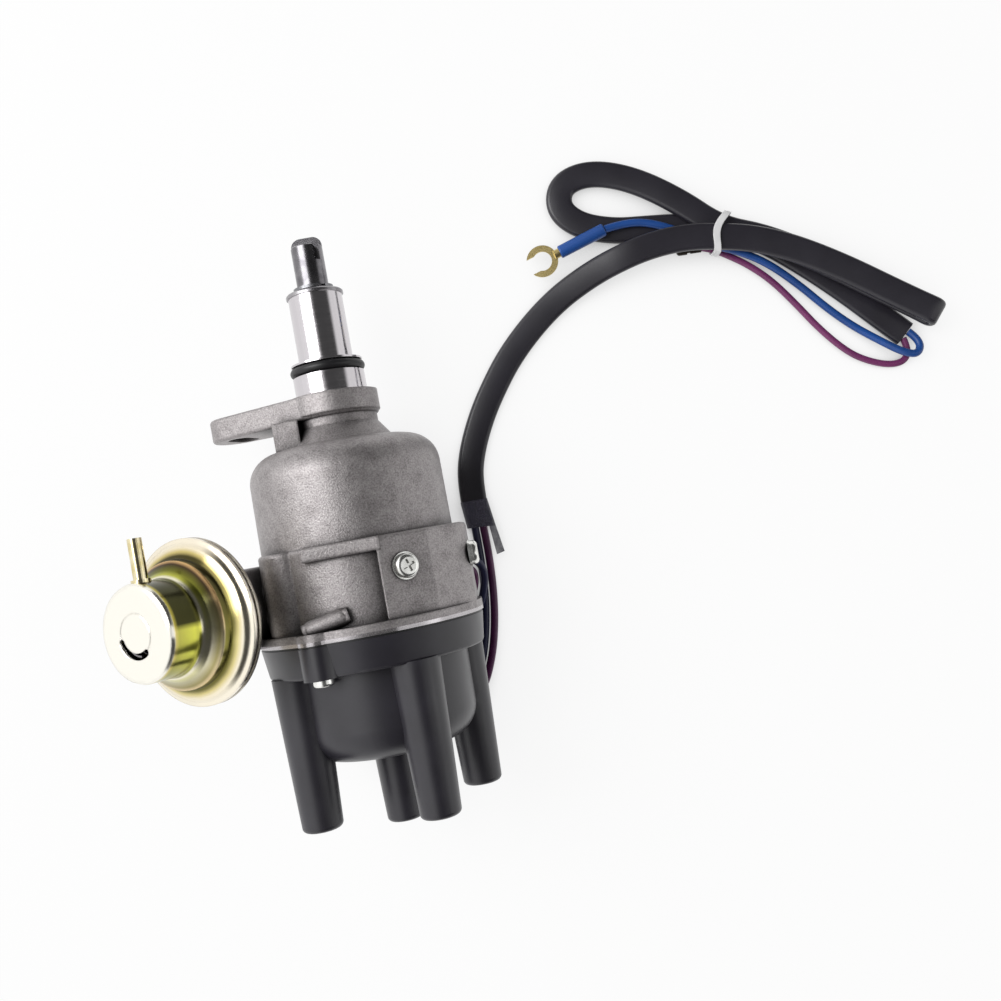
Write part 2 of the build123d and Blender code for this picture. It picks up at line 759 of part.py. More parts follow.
def make_canister_front_shell():
    sheet = canister_sheet
    rim = canister_flange_radius
    step = canister_step_radius
    barrel = canister_barrel_radius
    step_start = front_start + 5
    step_end = front_start + 8
    shell = turned(
        (rim - 2.6, front_start), (rim, front_start), (rim, front_start + sheet + 0.3),
        (rim - 1.6, front_start + sheet + 0.8), (rim - 2.8, front_start + 3.2),
        (rim - 4.6, front_start + 3.9), (step, step_start), (step - 0.3, step_end),
        (step - 3.6, barrel_start - 2.0), (barrel + 0.4, barrel_start), (barrel, barrel_start + 1.2),
        (barrel, face_place - 1.6), (barrel - 0.5, face_place - 0.5),
        (barrel - 1.7, face_place), (0, face_place), (0, face_place - sheet),
        (barrel - 2.0, face_place - sheet), (barrel - sheet, face_place - 2),
        (barrel - sheet, barrel_start + 0.8), (step - 4.6, barrel_start - 2.4),
        (step - 1.3, step_end - 0.7), (step - 1.0, step_start - 0.6),
        (rim - 5.4, front_start + 3.0),
    )
    # Stamped ring and vent slot in the face, and the nipple's hole
    shell -= ring(vent_radius, vent_radius - 0.4, face_place - 0.25, face_place + 1)
    vent = SlotArc(CenterArc((0, 0), vent_radius, vent_from, vent_to - vent_from), vent_width)
    shell -= Pos(0, 0, face_place - 2 * sheet) * extrude(vent, 3 * sheet)
    return along_rod(shell - nipple_location * rod(nipple_radius, 0, 2 * barrel))


def make_vacuum_nipple():
    """Tube through the barrel's side, with a foot that sits on the barrel."""
    low = canister_barrel_radius - canister_sheet
    foot_top = canister_barrel_radius + nipple_foot_height
    foot = nipple_location * rod(nipple_foot_radius, low, foot_top)
    foot -= rod(canister_barrel_radius, canister_flange_place, face_place)
    tube = nipple_location * rod(nipple_radius, low, low + nipple_length)
    return along_rod(foot + tube - nipple_location * rod(nipple_bore, 0, 60))


def make_diaphragm():
    sheet = rod(canister_flange_radius - 0.6, canister_flange_place - 0.4, front_start)
    return along_rod(sheet - rod(2.0, 0, 100))


def make_diaphragm_plates():
    back = rod(14, canister_flange_place - 1.4, canister_flange_place - 0.4)
    front = rod(14, front_start, front_start + 1)
    plates = [plate - rod(2.0, 0, 100) for plate in (back, front)]
    return Compound(children=[along_rod(plate) for plate in plates])


def make_diaphragm_spring():
    return along_rod(ring(8.0, 6.8, front_start + 1.1, face_place - 1.1))


def make_pull_rod():
    """Rod with a flat eye on the plate's pin and a round shank through the canister neck."""
    eye_place = -rod_offset * sin(radians(vacuum_advance / 2))
    shank = rod(2.0, 8, front_start + 2.2)
    flat = Pos(0, 0, 0) * Box(rod_thickness, rod_width, 24)
    flat = Pos(0, 0, eye_place + 12) * flat
    eye = Pos(0, 0, eye_place) * Rot(Y=90) * Cylinder(rod_eye_radius, rod_thickness)
    hole = Pos(0, 0, eye_place) * Rot(Y=90) * Cylinder(rod_pin_radius + 0.3, 10)
    return along_rod(shank + flat + eye - hole)


# ---------------------------------------------------------------- screws of the base, grommet
def make_base_screws():
    screws = []
    for place, clock in base_screw_places:
        head = rod(4.4, 0.9, 3.6)
        head = fillet(head.edges().sort_by(Axis.Z)[-1], 1.6)
        for turn in (20, 110):
            head -= Pos(0, 0, 3.4) * Rot(Z=turn) * Box(4.6, 1.0, 1.6)
        screws.append(outward(place, clock, base_screw_station) * (head + rod(2.0, -5.5, 1.4)))
    return Compound(children=screws)


def make_base_screw_washers():
    washers = [outward(place, clock, base_screw_station) * ring(4.9, 2.05, 0.1, 0.9)
               for place, clock in base_screw_places]
    return Compound(children=washers)


def at_grommet(shape):
    return outward(grommet_place, grommet_clock, grommet_station) * shape


def make_lead_grommet():
    body = rod(grommet_radius, 0, 1.8) + rod(grommet_radius - 1.4, -9, 0)
    body = fillet(body.edges().sort_by(Axis.Z)[-1], 0.6)
    return at_grommet(body)


# ---------------------------------------------------------------- harness
def on_surface(points):
    """Places in the finished frame from (x, y, height above the surface)."""
    return [Vector(x, y, height - rest_height) for x, y, height in points]


def bend_radii(points):
    """Radius of the bend at each inner point, from the shorter of the two runs there."""
    radii = []
    for before, at, after in zip(points, points[1:], points[2:]):
        turn = radians((at - before).get_angle(after - at))
        shorter = min((at - before).length, (after - at).length)
        radii.append(0.45 * shorter / tan(turn / 2))
    return radii


def cord(name, section, places):
    """Section swept along straight runs that are joined by tangent arcs."""
    points = on_surface(places)
    radii = bend_radii(points)
    path = FilletPolyline(*points, radius=radii)
    body = sweep(path.location_at(0) * section, path)
    drift = body.volume / (section.area * path.length) - 1
    print(name, "length", round(path.length, 1), "least radius", round(min(radii), 1),
          "volume off by", f"{drift:.2%}")
    return body


tube_mouth = (45.2, -47.7, 2.4)
tube_end = (235.0, -11.0, 2.4)
tube_route = [
    tube_mouth,
    (45.2, -39.5, 2.4), (47.2, -30.0, 2.2), (52.0, -18.5, 2.0), (59.2, -6.0, 2.0), (72.0, 11.0, 2.0),
    (91.0, 27.3, 2.6),
    (109.4, 36.3, 6.2), (126.0, 40.8, layer_3), (139.0, 43.1, layer_3), (152.0, 43.4, layer_3),
    (163.9, 41.5, layer_3), (177.5, 38.3, layer_3), (193.0, 31.6, layer_3), (211.6, 20.0, 11.0),
    (230.0, 6.1, 11.8), (240.0, -1.4, 12.6), (246.4, -5.9, fold_height),
    (246.4, -5.9, layer_2), (240.0, -0.6, layer_2), (225.0, 10.2, layer_2), (205.0, 25.0, layer_2),
    (184.0, 38.5, layer_2), (165.7, 45.5, layer_2), (151.0, 60.5, 6.0), (133.5, 73.5, 4.5),
    (117.0, 79.3, 3.6), (104.5, 76.5, 3.2), (101.5, 66.5, 3.0), (109.0, 58.0, 3.0),
    (123.0, 53.0, layer_1), (137.0, 51.6, layer_1), (151.0, 50.0, layer_1), (165.7, 45.5, layer_1),
    (182.0, 40.0, layer_1), (199.0, 26.0, 2.9), (214.0, 11.5, 2.7), (226.5, -2.0, 2.6), tube_end,
]
blue_route = [
    (236.5, -10.2, 2.6), (240.7, -15.1, 3.6), (238.0, -20.8, 5.2), (231.5, -18.4, 5.3),
    (224.3, -12.2, 3.2), (214.5, -3.9, 1.9), (205.0, 5.8, 1.9), (195.7, 16.9, 2.2), (184.3, 27.9, 3.6),
    (173.4, 34.4, 5.6), (162.6, 38.8, 6.5), (150.5, 46.5, 6.7), (139.8, 52.3, 7.0), (128.7, 55.0, 7.0),
    (118.5, 53.4, 7.8),
]
purple_route = [
    (234.0, -12.6, 2.4), (235.6, -17.8, 2.0), (233.0, -22.2, 1.8), (226.5, -22.6, 1.8),
    (217.6, -19.1, 1.8), (210.1, -13.9, 1.8), (200.8, -2.9, 1.8), (192.0, 10.8, 1.8), (184.3, 21.5, 1.8),
    (176.0, 29.5, 1.8), (169.0, 34.3, 2.2), (162.6, 38.2, 2.9), (157.5, 39.8, 2.9),
]
lead_a_route = [
    (45.2 + lead_spacing, -47.8, 2.4), (47.3, -60.0, 2.4), (47.4, -73.0, 2.2), (46.7, -86.0, 2.2),
    (45.0, -98.5, 2.2), (42.0, -111.0, 2.2), (37.0, -123.0, 2.2), (29.5, -132.5, 2.2),
    (19.5, -135.0, 2.2), (13.0, -128.0, 2.2), (15.0, -117.0, 2.2), (22.0, -107.5, 2.2),
    (30.5, -99.0, 2.6), (36.9, -88.0, 4.8), (40.6, -79.8, 8.0), (39.6, -74.6, 10.8), (35.8, -73.8, 14.0),
]
lead_b_route = [
    (45.2 - lead_spacing, -47.8, 2.4), (43.8, -60.0, 2.4), (43.8, -73.0, 2.2), (43.1, -86.0, 2.2),
    (41.4, -98.0, 2.2), (38.5, -110.0, 2.2), (34.0, -121.0, 2.2), (27.8, -129.0, 2.2),
    (21.0, -130.6, 2.2), (17.0, -126.0, 2.2), (18.5, -119.0, 2.2), (25.6, -110.5, 2.2),
    (33.8, -101.6, 2.6), (41.4, -89.5, 4.4), (45.0, -77.5, 7.2), (41.6, -70.9, 10.2), (35.8, -70.2, 14.0),
]
sleeve_route_end = (98.7, 47.6, 6.2)


def between(start, end):
    """Location at start with Z pointing to end and X level, and the distance."""
    span = end - start
    place = Plane(origin=start, z_dir=span.normalized(), x_dir=Vector(0, 0, 1).cross(span).normalized())
    return place.location, span.length


def make_lead_sleeve():
    """Short shrunk sleeve round the two leads at the tube's mouth, with a loose flap."""
    outline = make_face(Polyline((39.6, -47.7), (50.8, -47.7), (52.4, -59.4), (40.6, -58.8), close=True))
    inner = make_face(Polyline((40.4, -46.0), (50.0, -46.0), (51.8, -62.0), (41.5, -62.0), close=True))
    flap = make_face(Polyline((49.6, -58.0), (52.2, -58.0), (54.2, -70.6), (50.8, -71.4), close=True))
    shell = Pos(0, 0, 0.2 - rest_height) * extrude(outline, 4.8)
    shell -= Pos(0, 0, 0.7 - rest_height) * extrude(inner, 3.7)
    return shell + Pos(0, 0, 4.2 - rest_height) * extrude(flap, 0.8)


def make_terminal_sleeve():
    start, end = on_surface([blue_route[-1], sleeve_route_end])
    place, length = between(start, end)
    body = rod(2.7, 0.05, length)
    body = fillet(body.edges().filter_by(GeomType.CIRCLE), 0.6)
    return place * body


def make_fork_terminal():
    """Crimped barrel and flat open fork."""
    start, end = on_surface([blue_route[-1], sleeve_route_end])
    place, length = between(start, end)
    barrel = rod(1.9, length + 0.05, length + 2.4)
    ring = Circle(6.6) + Pos(0, -6.0) * Rectangle(3.6, 3.2)
    ring -= Circle(4.0)
    ring -= Pos(0, 5.5) * Rectangle(6.6, 11)
    fork = extrude(ring, 0.45, both=True)
    fork = Pos(0, 0, length + 8.0) * Rot(X=90) * fork
    return place * (barrel + fork)


def make_bullet_terminal():
    start, end = on_surface([purple_route[-1], (147.3, 40.2, 2.9)])
    place, length = between(start, end)
    body = rod(1.9, 0.02, 4.4) + rod(1.5, 4, 6.4) + rod(2.1, 6, length)
    return place * fillet(body.edges().filter_by(GeomType.CIRCLE).sort_by(Axis.Z)[-1], 1.2)


tie_low = (161.3, 36.0)
tie_direction = (0.906, -0.423)
tie_across = (0.423, 0.906)


def make_cable_tie():
    """Flat band round the bundled strands."""
    low, high = -0.9, 18.0
    floor, top = 0.85, layer_3 + tube_thickness / 2 + 0.6
    middle = (low + high) / 2
    origin = Vector(tie_low[0] + tie_across[0] * middle, tie_low[1] + tie_across[1] * middle,
                    (floor + top) / 2 - rest_height)
    plane = Plane(origin=origin, x_dir=(*tie_across, 0), z_dir=(*tie_direction, 0))
    inner = RectangleRounded(high - low, top - floor, 2.0)
    outer = RectangleRounded(high - low + 2 * tie_thickness, top - floor + 2 * 0.8, 2.6)
    band = extrude(outer - inner, tie_width / 2, both=True)
    return plane.location * band


def make_harness():
    tube = Rectangle(tube_width, tube_thickness)
    keep("harness_tube", cord("harness_tube", tube, tube_route), False)
    keep("blue_lead", cord("blue_lead", Circle(blue_lead_diameter / 2), blue_route), False)
    keep("purple_lead", cord("purple_lead", Circle(purple_lead_diameter / 2), purple_route), False)
    keep("pickup_lead_a", cord("pickup_lead_a", Circle(pickup_lead_diameter / 2), lead_a_route), False)
    keep("pickup_lead_b", cord("pickup_lead_b", Circle(pickup_lead_diameter / 2), lead_b_route), False)
    keep("lead_sleeve", make_lead_sleeve(), False)
    keep("terminal_sleeve", make_terminal_sleeve(), False)
    keep("fork_terminal", make_fork_terminal(), False)
    keep("bullet_terminal", make_bullet_terminal(), False)
    keep("cable_tie", make_cable_tie(), False)


# ---------------------------------------------------------------- build and write
def main():
    os.makedirs("parts", exist_ok=True)
    keep("housing", make_housing())
    keep("o_ring", make_o_ring())
    keep("drive_end_bush", make_bush(neck_tube_end - bush_length))
    keep("inner_bush", make_bush(bell_top - bell_wall - 8))
    keep("thrust_washer", make_thrust_washer())
    keep("drive_shaft", make_drive_shaft())
    keep("shaft_circlip", make_circlip())
    keep("governor_plate", make_governor_plate())
    keep("weight_pivot_pins", make_weight_pivot_pins())
    keep("advance_weight_a", make_weight(0))
    keep("advance_weight_b", make_weight(180))
    keep("rotor_sleeve", make_rotor_sleeve())
    keep("governor_springs", make_governor_springs())
    keep("pickup_base_plate", make_pickup_base_plate())
    keep("pickup_plate", make_pickup_plate())
    keep("pickup_coil", make_pickup_coil())
    keep("ring_magnet", make_ring_magnet())
    keep("stator", make_stator())
    keep("reluctor", make_reluctor())
    keep("rotor_arm", make_rotor_arm())
    keep("rotor_blade", make_rotor_blade())
    keep("cap", make_cap())
    keep("cap_gasket", make_cap_gasket())
    keep("cap_screws", make_cap_screws())
    keep("side_terminals", make_side_terminals())
    keep("centre_terminal", make_centre_terminal())
    keep("carbon_brush", make_carbon_brush())
    keep("brush_spring", make_brush_spring())
    keep("canister_back_shell", make_canister_back_shell())
    keep("canister_front_shell", make_canister_front_shell())
    keep("canister_screws", make_canister_screws())
    keep("vacuum_nipple", make_vacuum_nipple())
    keep("diaphragm", make_diaphragm())
    keep("diaphragm_plates", make_diaphragm_plates())
    keep("diaphragm_spring", make_diaphragm_spring())
    keep("pull_rod", make_pull_rod())
    keep("base_screws", make_base_screws())
    keep("base_screw_washers", make_base_screw_washers())
    keep("lead_grommet", make_lead_grommet())
    make_harness()
    for name, shape in pieces.items():
        export_step(shape, f"parts/{name}.step")
        print(name, len(shape.solids()), round(shape.volume))


main()
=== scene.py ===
import bpy
import math
from mathutils import Matrix, Vector


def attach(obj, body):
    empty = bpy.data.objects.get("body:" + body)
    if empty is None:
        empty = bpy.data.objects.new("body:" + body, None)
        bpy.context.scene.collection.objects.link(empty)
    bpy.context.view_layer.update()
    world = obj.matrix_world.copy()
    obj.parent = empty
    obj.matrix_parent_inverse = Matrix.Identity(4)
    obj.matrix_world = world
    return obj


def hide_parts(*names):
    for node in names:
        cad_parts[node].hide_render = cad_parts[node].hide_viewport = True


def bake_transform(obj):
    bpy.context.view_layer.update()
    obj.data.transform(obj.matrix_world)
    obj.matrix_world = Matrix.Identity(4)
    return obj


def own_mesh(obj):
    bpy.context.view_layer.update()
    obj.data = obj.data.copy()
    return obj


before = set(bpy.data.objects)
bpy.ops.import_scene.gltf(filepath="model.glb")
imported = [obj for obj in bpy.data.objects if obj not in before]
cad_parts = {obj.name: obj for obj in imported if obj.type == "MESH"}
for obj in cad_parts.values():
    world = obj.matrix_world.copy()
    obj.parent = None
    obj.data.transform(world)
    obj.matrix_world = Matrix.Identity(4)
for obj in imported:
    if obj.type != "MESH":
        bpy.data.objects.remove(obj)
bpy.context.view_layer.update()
scene = bpy.context.scene
mm = 0.001
restHeight = -42.0 * mm  # the shaft axis is 42 mm above the surface


# ---- small helpers
def toLinear(hexColour):
    channels = [int(hexColour[i:i + 2], 16) / 255 for i in (1, 3, 5)]
    linear = [c / 12.92 if c <= 0.04045 else ((c + 0.055) / 1.055) ** 2.4 for c in channels]
    return (*linear, 1.0)


def addNode(tree, kind, settings=None, links=None, **values):
    # links: socket name or index -> (node, output name or index)
    node = tree.nodes.new(kind)
    for key, value in (settings or {}).items():
        setattr(node, key, value)
    for key, value in values.items():
        node.inputs[key.replace("_", " ")].default_value = value
    for socket, (source, output) in (links or {}).items():
        tree.links.new(source.outputs[output], node.inputs[socket])
    return node


def mathNode(tree, operation, *terms):
    # each term is a number or (node, output)
    node = addNode(tree, "ShaderNodeMath", {"operation": operation})
    for socket, term in zip(node.inputs, terms):
        if isinstance(term, tuple):
            tree.links.new(term[0].outputs[term[1]], socket)
        else:
            socket.default_value = term
    return node


def mixColours(tree, blend, share, first, second):
    # share is a number or (node, output); first and second, both (node, output), are colour sockets 6 and 7
    node = addNode(tree, "ShaderNodeMix", {"data_type": "RGBA", "blend_type": blend},
                   links={6: first, 7: second})
    if isinstance(share, tuple):
        tree.links.new(share[0].outputs[share[1]], node.inputs[0])
    else:
        node.inputs[0].default_value = share
    return node


def newMaterial(name):
    material = bpy.data.materials.new(name)
    material.use_nodes = True
    tree = material.node_tree
    tree.nodes.clear()
    return material, tree


def finishMaterial(tree, shader):
    output = tree.nodes.new("ShaderNodeOutputMaterial")
    tree.links.new(shader.outputs[0], output.inputs["Surface"])


def noiseAt(tree, sizeMm, detail=3.0, stretch=(1, 1, 1), roughness=0.5):
    # noise whose blotches are about sizeMm across
    place = tree.nodes.new("ShaderNodeTexCoord")
    mapping = addNode(tree, "ShaderNodeMapping", links={"Vector": (place, "Object")}, Scale=stretch)
    return addNode(tree, "ShaderNodeTexNoise", links={"Vector": (mapping, 0)},
                   Scale=1 / (sizeMm * mm), Detail=detail, Roughness=roughness)


def rampOf(tree, source, output, stops):
    ramp = addNode(tree, "ShaderNodeValToRGB", links={"Fac": (source, output)})
    elements = ramp.color_ramp.elements
    while len(elements) < len(stops):
        elements.new(0.5)
    for element, (position, colour) in zip(elements, stops):
        element.position = position
        element.color = toLinear(colour) if isinstance(colour, str) else (colour, colour, colour, 1)
    return ramp


def glossOf(tree, source, roughness, low, high):
    # roughness that wanders between low and high times its value
    return rampOf(tree, source, "Fac", [(0.3, roughness * low), (0.7, roughness * high)])


def bumpOf(tree, source, strength, depthMm, normal=None):
    links = {"Height": (source, "Fac")}
    if normal:
        links["Normal"] = (normal, 0)
    return addNode(tree, "ShaderNodeBump", links=links, Strength=strength, Distance=depthMm * mm)


def dress(node, material):
    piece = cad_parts[node]
    piece.data.materials.clear()
    piece.data.materials.append(material)


# ---- materials
def plainMetal(name, colour, dark, roughness, grainMm, bumpMm):
    # plain metal: fine grain in the gloss and faint tone changes, so that no face looks painted
    material, tree = newMaterial(name)
    tone = noiseAt(tree, grainMm * 12, 3)
    colourRamp = rampOf(tree, tone, "Fac", [(0.35, dark), (0.65, colour)])
    grain = noiseAt(tree, grainMm, 2)
    gloss = glossOf(tree, grain, roughness, 0.8, 1.25)
    bump = bumpOf(tree, grain, 0.25, bumpMm)
    shader = addNode(tree, "ShaderNodeBsdfPrincipled", Metallic=1.0, links={
        "Base Color": (colourRamp, 0), "Roughness": (gloss, 0), "Normal": (bump, 0)})
    finishMaterial(tree, shader)
    return material


def mouldedPlastic(name, colour, dark, roughness, grainMm=0.5, bumpMm=0.01, coat=0.0, coatRoughness=0.42):
    # moulded plastic: even colour, slight orange peel and a soft gloss
    material, tree = newMaterial(name)
    tone = noiseAt(tree, grainMm * 20, 3)
    colourRamp = rampOf(tree, tone, "Fac", [(0.3, dark), (0.7, colour)])
    peel = noiseAt(tree, grainMm, 2)
    gloss = glossOf(tree, noiseAt(tree, grainMm * 30, 4), roughness, 0.85, 1.15)
    bump = bumpOf(tree, peel, 0.2, bumpMm)
    shader = addNode(tree, "ShaderNodeBsdfPrincipled", IOR=1.5, Coat_Weight=coat,
                     Coat_Roughness=coatRoughness, links={
                         "Base Color": (colourRamp, 0), "Roughness": (gloss, 0), "Normal": (bump, 0)})
    finishMaterial(tree, shader)
    return material


def smokedVinyl(name, colour, roughness, cover):
    # thin see-through vinyl: a grey-violet veil with a bright sheen
    material, tree = newMaterial(name)
    ripple = noiseAt(tree, 3.0, 2)
    bump = bumpOf(tree, ripple, 0.3, 0.15)
    veil = rampOf(tree, ripple, "Fac", [(0.3, cover * 0.85), (0.7, cover * 1.15)])
    shader = addNode(tree, "ShaderNodeBsdfPrincipled", Base_Color=toLinear(colour), Roughness=roughness,
                     IOR=1.5, links={"Normal": (bump, 0), "Alpha": (veil, 0)})
    finishMaterial(tree, shader)
    return material


castLook = {
    "pale": "#b6b1b1", "mid": "#938e8e", "dark": "#565253",
    "gritMm": 0.6, "blotchMm": 8.0, "gritDepthMm": 0.26, "edgeMm": 1.3,
    # painted shade: share of the cast colour that is left, by how open each point is, darker in hollows and
    # fillets
    "hollowMm": 13.0, "paintedHollowShade": [(0.3, 0.1), (0.6, 0.42), (0.85, 0.9), (0.97, 1.0)],
    "metallic": 0.72, "roughness": 0.43,
    "machinedFromMm": 0.25, "edgeToMm": -88.2, "edgeBright": 0.6,
    "turnedHex": "#d2ced1", "ringMm": 0.4, "ringGloss": [(0.3, 0.1), (0.7, 0.2)],
}


def castAluminium(look):
    # die-cast aluminium: a sand-like grey skin with painted shade darkening its hollows, with the spigot
    # turned bright
    material, tree = newMaterial("die-cast aluminium, turned spigot")
    grit = noiseAt(tree, look["gritMm"], 3, roughness=0.6)
    blotch = noiseAt(tree, look["blotchMm"], 4)
    blotchRamp = rampOf(tree, blotch, "Fac", [(0.3, look["mid"]), (0.5, look["pale"]), (0.72, look["mid"])])
    gritRamp = rampOf(tree, grit, "Fac", [(0.34, look["dark"]), (0.5, look["mid"]), (0.66, look["pale"])])
    castColour = mixColours(tree, "MIX", 0.5, (blotchRamp, 0), (gritRamp, 0))
    # painted shade: the cast colour is darkened where the surface is closed in, in hollows and fillets
    hollow = addNode(tree, "ShaderNodeAmbientOcclusion", {"samples": 8}, Distance=look["hollowMm"] * mm)
    shade = rampOf(tree, hollow, "AO", look["paintedHollowShade"])
    castWithPaintedShade = mixColours(tree, "MULTIPLY", 1.0, (castColour, 2), (shade, 0))
    softEdge = addNode(tree, "ShaderNodeBevel", {"samples": 4}, Radius=look["edgeMm"] * mm)
    castBump = bumpOf(tree, grit, 0.6, look["gritDepthMm"], softEdge)
    cast = addNode(tree, "ShaderNodeBsdfPrincipled", Metallic=look["metallic"],
                   Roughness=look["roughness"], links={"Base Color": (castWithPaintedShade, 2), "Normal": (castBump, 0)})
    # turned surface: fine rings round the shaft
    rings = noiseAt(tree, look["ringMm"], 2, stretch=(0.05, 1, 0.05))
    ringGloss = rampOf(tree, rings, "Fac", look["ringGloss"])
    turned = addNode(tree, "ShaderNodeBsdfPrincipled", Base_Color=toLinear(look["turnedHex"]), Metallic=1.0,
                     links={"Roughness": (ringGloss, 0)})
    place = tree.nodes.new("ShaderNodeTexCoord")
    parts = addNode(tree, "ShaderNodeSeparateXYZ", links={0: (place, "Object")})
    spigot = mathNode(tree, "GREATER_THAN", (parts, "Y"), look["machinedFromMm"] * mm)
    # the machined edge against the cap is partly bright
    edge = mathNode(tree, "LESS_THAN", (parts, "Y"), look["edgeToMm"] * mm)
    edgeShare = mathNode(tree, "MULTIPLY", (edge, 0), look["edgeBright"])
    either = mathNode(tree, "MAXIMUM", (spigot, 0), (edgeShare, 0))
    both = addNode(tree, "ShaderNodeMixShader", links={0: (either, 0), 1: (cast, 0), 2: (turned, 0)})
    finishMaterial(tree, both)
    return material


canisterPlace = {
    "foot": (-22.29, -74.2, -13.39), "tiltDegrees": -31.0, "flangeMm": 62.2, "faceMm": 88.2,
}
zincLook = {
    # colour at each share of the way from the flange to the face, on both sides of the axis; the zinc's tints
    # carry painted reflections and shade, the drive side a darker shaded copy
    "driveSideTintAndShade": [
        (0.0, "#c4c1b4"), (0.02, "#c4b4a4"), (0.04, "#f8f0e0"), (0.155, "#f4e8cc"), (0.175, "#d0be7c"),
        (0.2, "#4a4428"), (0.31, "#565030"), (0.335, "#d8b07a"), (0.365, "#46382c"), (0.42, "#70702f"),
        (0.47, "#b8b850"), (0.5, "#f2ecd2"), (0.53, "#5c5a28"), (0.6, "#403f24"), (0.88, "#403f24"),
        (0.93, "#b5a94e"), (0.965, "#fbf8ee"),
    ],
    "capSideTintAndSheen": [
        (0.0, "#c4c1b4"), (0.02, "#ccbfa8"), (0.04, "#fbf6e8"), (0.155, "#f8f0d8"), (0.18, "#e8dc9c"),
        (0.21, "#8c8644"), (0.31, "#9c964c"), (0.335, "#f2e8c0"), (0.37, "#d8cc8c"), (0.42, "#f2ead0"),
        (0.5, "#f4ecd4"), (0.53, "#c8c65a"), (0.62, "#dcdc5c"), (0.88, "#bcb858"),
        (0.93, "#d4c478"), (0.965, "#fbf8ee"),
    ],
    # share of the drive side's darker, painted-shade colours from the cap's side (0) to the drive end's (1),
    # with a painted highlight where it drops to 0: sharp on the barrel, soft on the stepped flange
    "halfSharp": [(0.08, 0.65), (0.3, 0.0), (0.475, 0.0), (0.525, 1.0)],
    "halfSoft": [(0.05, 0.55), (0.3, 0.15), (0.5, 0.65), (0.75, 1.0)],
    "barrelFrom": [(0.49, 0.0), (0.52, 1.0)], "halfReachMm": 20, "wobble": 0.015,
    "blotchMm": 11.0, "roughness": 0.16, "edgeMm": 0.9,
}


def yellowZinc(look, canister):
    # yellow-passivated zinc on drawn steel: cream where it is flat, with rings of olive, lime and rose;
    # painted reflections and shade lie in these colours, darker on the drive side, with a painted highlight
    # just past the axis
    material, tree = newMaterial("yellow-passivated zinc, drawn steel")
    place = tree.nodes.new("ShaderNodeTexCoord")
    wobble = noiseAt(tree, look["blotchMm"], 2)
    # canister's own place: Y along the shaft, Z out along the pull rod
    moved = addNode(tree, "ShaderNodeVectorMath", {"operation": "SUBTRACT"}, links={0: (place, "Object")})
    moved.inputs[1].default_value = [value * mm for value in canister["foot"]]
    turned = addNode(tree, "ShaderNodeVectorRotate", {"rotation_type": "Y_AXIS"},
                     links={"Vector": (moved, 0)}, Angle=math.radians(-canister["tiltDegrees"]))
    parts = addNode(tree, "ShaderNodeSeparateXYZ", links={0: (turned, 0)})
    out = addNode(tree, "ShaderNodeMapRange", From_Min=canister["flangeMm"] * mm,
                  From_Max=canister["faceMm"] * mm, links={"Value": (parts, "Z")})
    shifted = mathNode(tree, "MULTIPLY_ADD", (wobble, "Fac"), look["wobble"], (out, 0))
    # painted reflection and shade: a shaded copy and a lit copy of the tint rings
    driveSideTintAndShade = rampOf(tree, shifted, 0, look["driveSideTintAndShade"])
    capSideTintAndSheen = rampOf(tree, shifted, 0, look["capSideTintAndSheen"])
    # painted shade towards the drive end, a painted highlight just past the axis, duller again towards the
    # cap
    along = addNode(tree, "ShaderNodeMapRange", From_Min=-look["halfReachMm"] * mm,
                    From_Max=look["halfReachMm"] * mm, links={"Value": (parts, "Y")})
    sharp = rampOf(tree, along, 0, look["halfSharp"])
    soft = rampOf(tree, along, 0, look["halfSoft"])
    half = addNode(tree, "ShaderNodeMix", {"data_type": "FLOAT"}, links={
        0: (rampOf(tree, shifted, 0, look["barrelFrom"]), 0), 2: (soft, 0), 3: (sharp, 0)})
    colour = mixColours(tree, "MIX", (half, 0), (capSideTintAndSheen, 0), (driveSideTintAndShade, 0))
    grain = noiseAt(tree, 0.5, 2)
    gloss = glossOf(tree, noiseAt(tree, 6, 3), look["roughness"], 0.8, 1.3)
    softEdge = addNode(tree, "ShaderNodeBevel", {"samples": 4}, Radius=look["edgeMm"] * mm)
    bump = bumpOf(tree, grain, 0.08, 0.02, softEdge)
    shader = addNode(tree, "ShaderNodeBsdfPrincipled", Metallic=1.0, links={
        "Base Color": (colour, 2), "Roughness": (gloss, 0), "Normal": (bump, 0)})
    finishMaterial(tree, shader)
    return material


# plated, cast and ground metals: cream-gold, grey and bright pieces that set the part's contrasts
castMaterial = castAluminium(castLook)
zincMaterial = yellowZinc(zincLook, canisterPlace)
nippleMaterial = plainMetal("yellow-passivated zinc tube", "#efe6c8", "#d8c890", 0.16, 0.4, 0.01)
# near-black moulded pieces with a soft sheen that shows their roundness
capMaterial = mouldedPlastic("phenolic cap, satin moulding", "#2a2830", "#222027", 0.36, 0.6, 0.02, 0.35)
rotorMaterial = mouldedPlastic("phenolic rotor, moulded", "#26252a", "#1d1c20", 0.45)
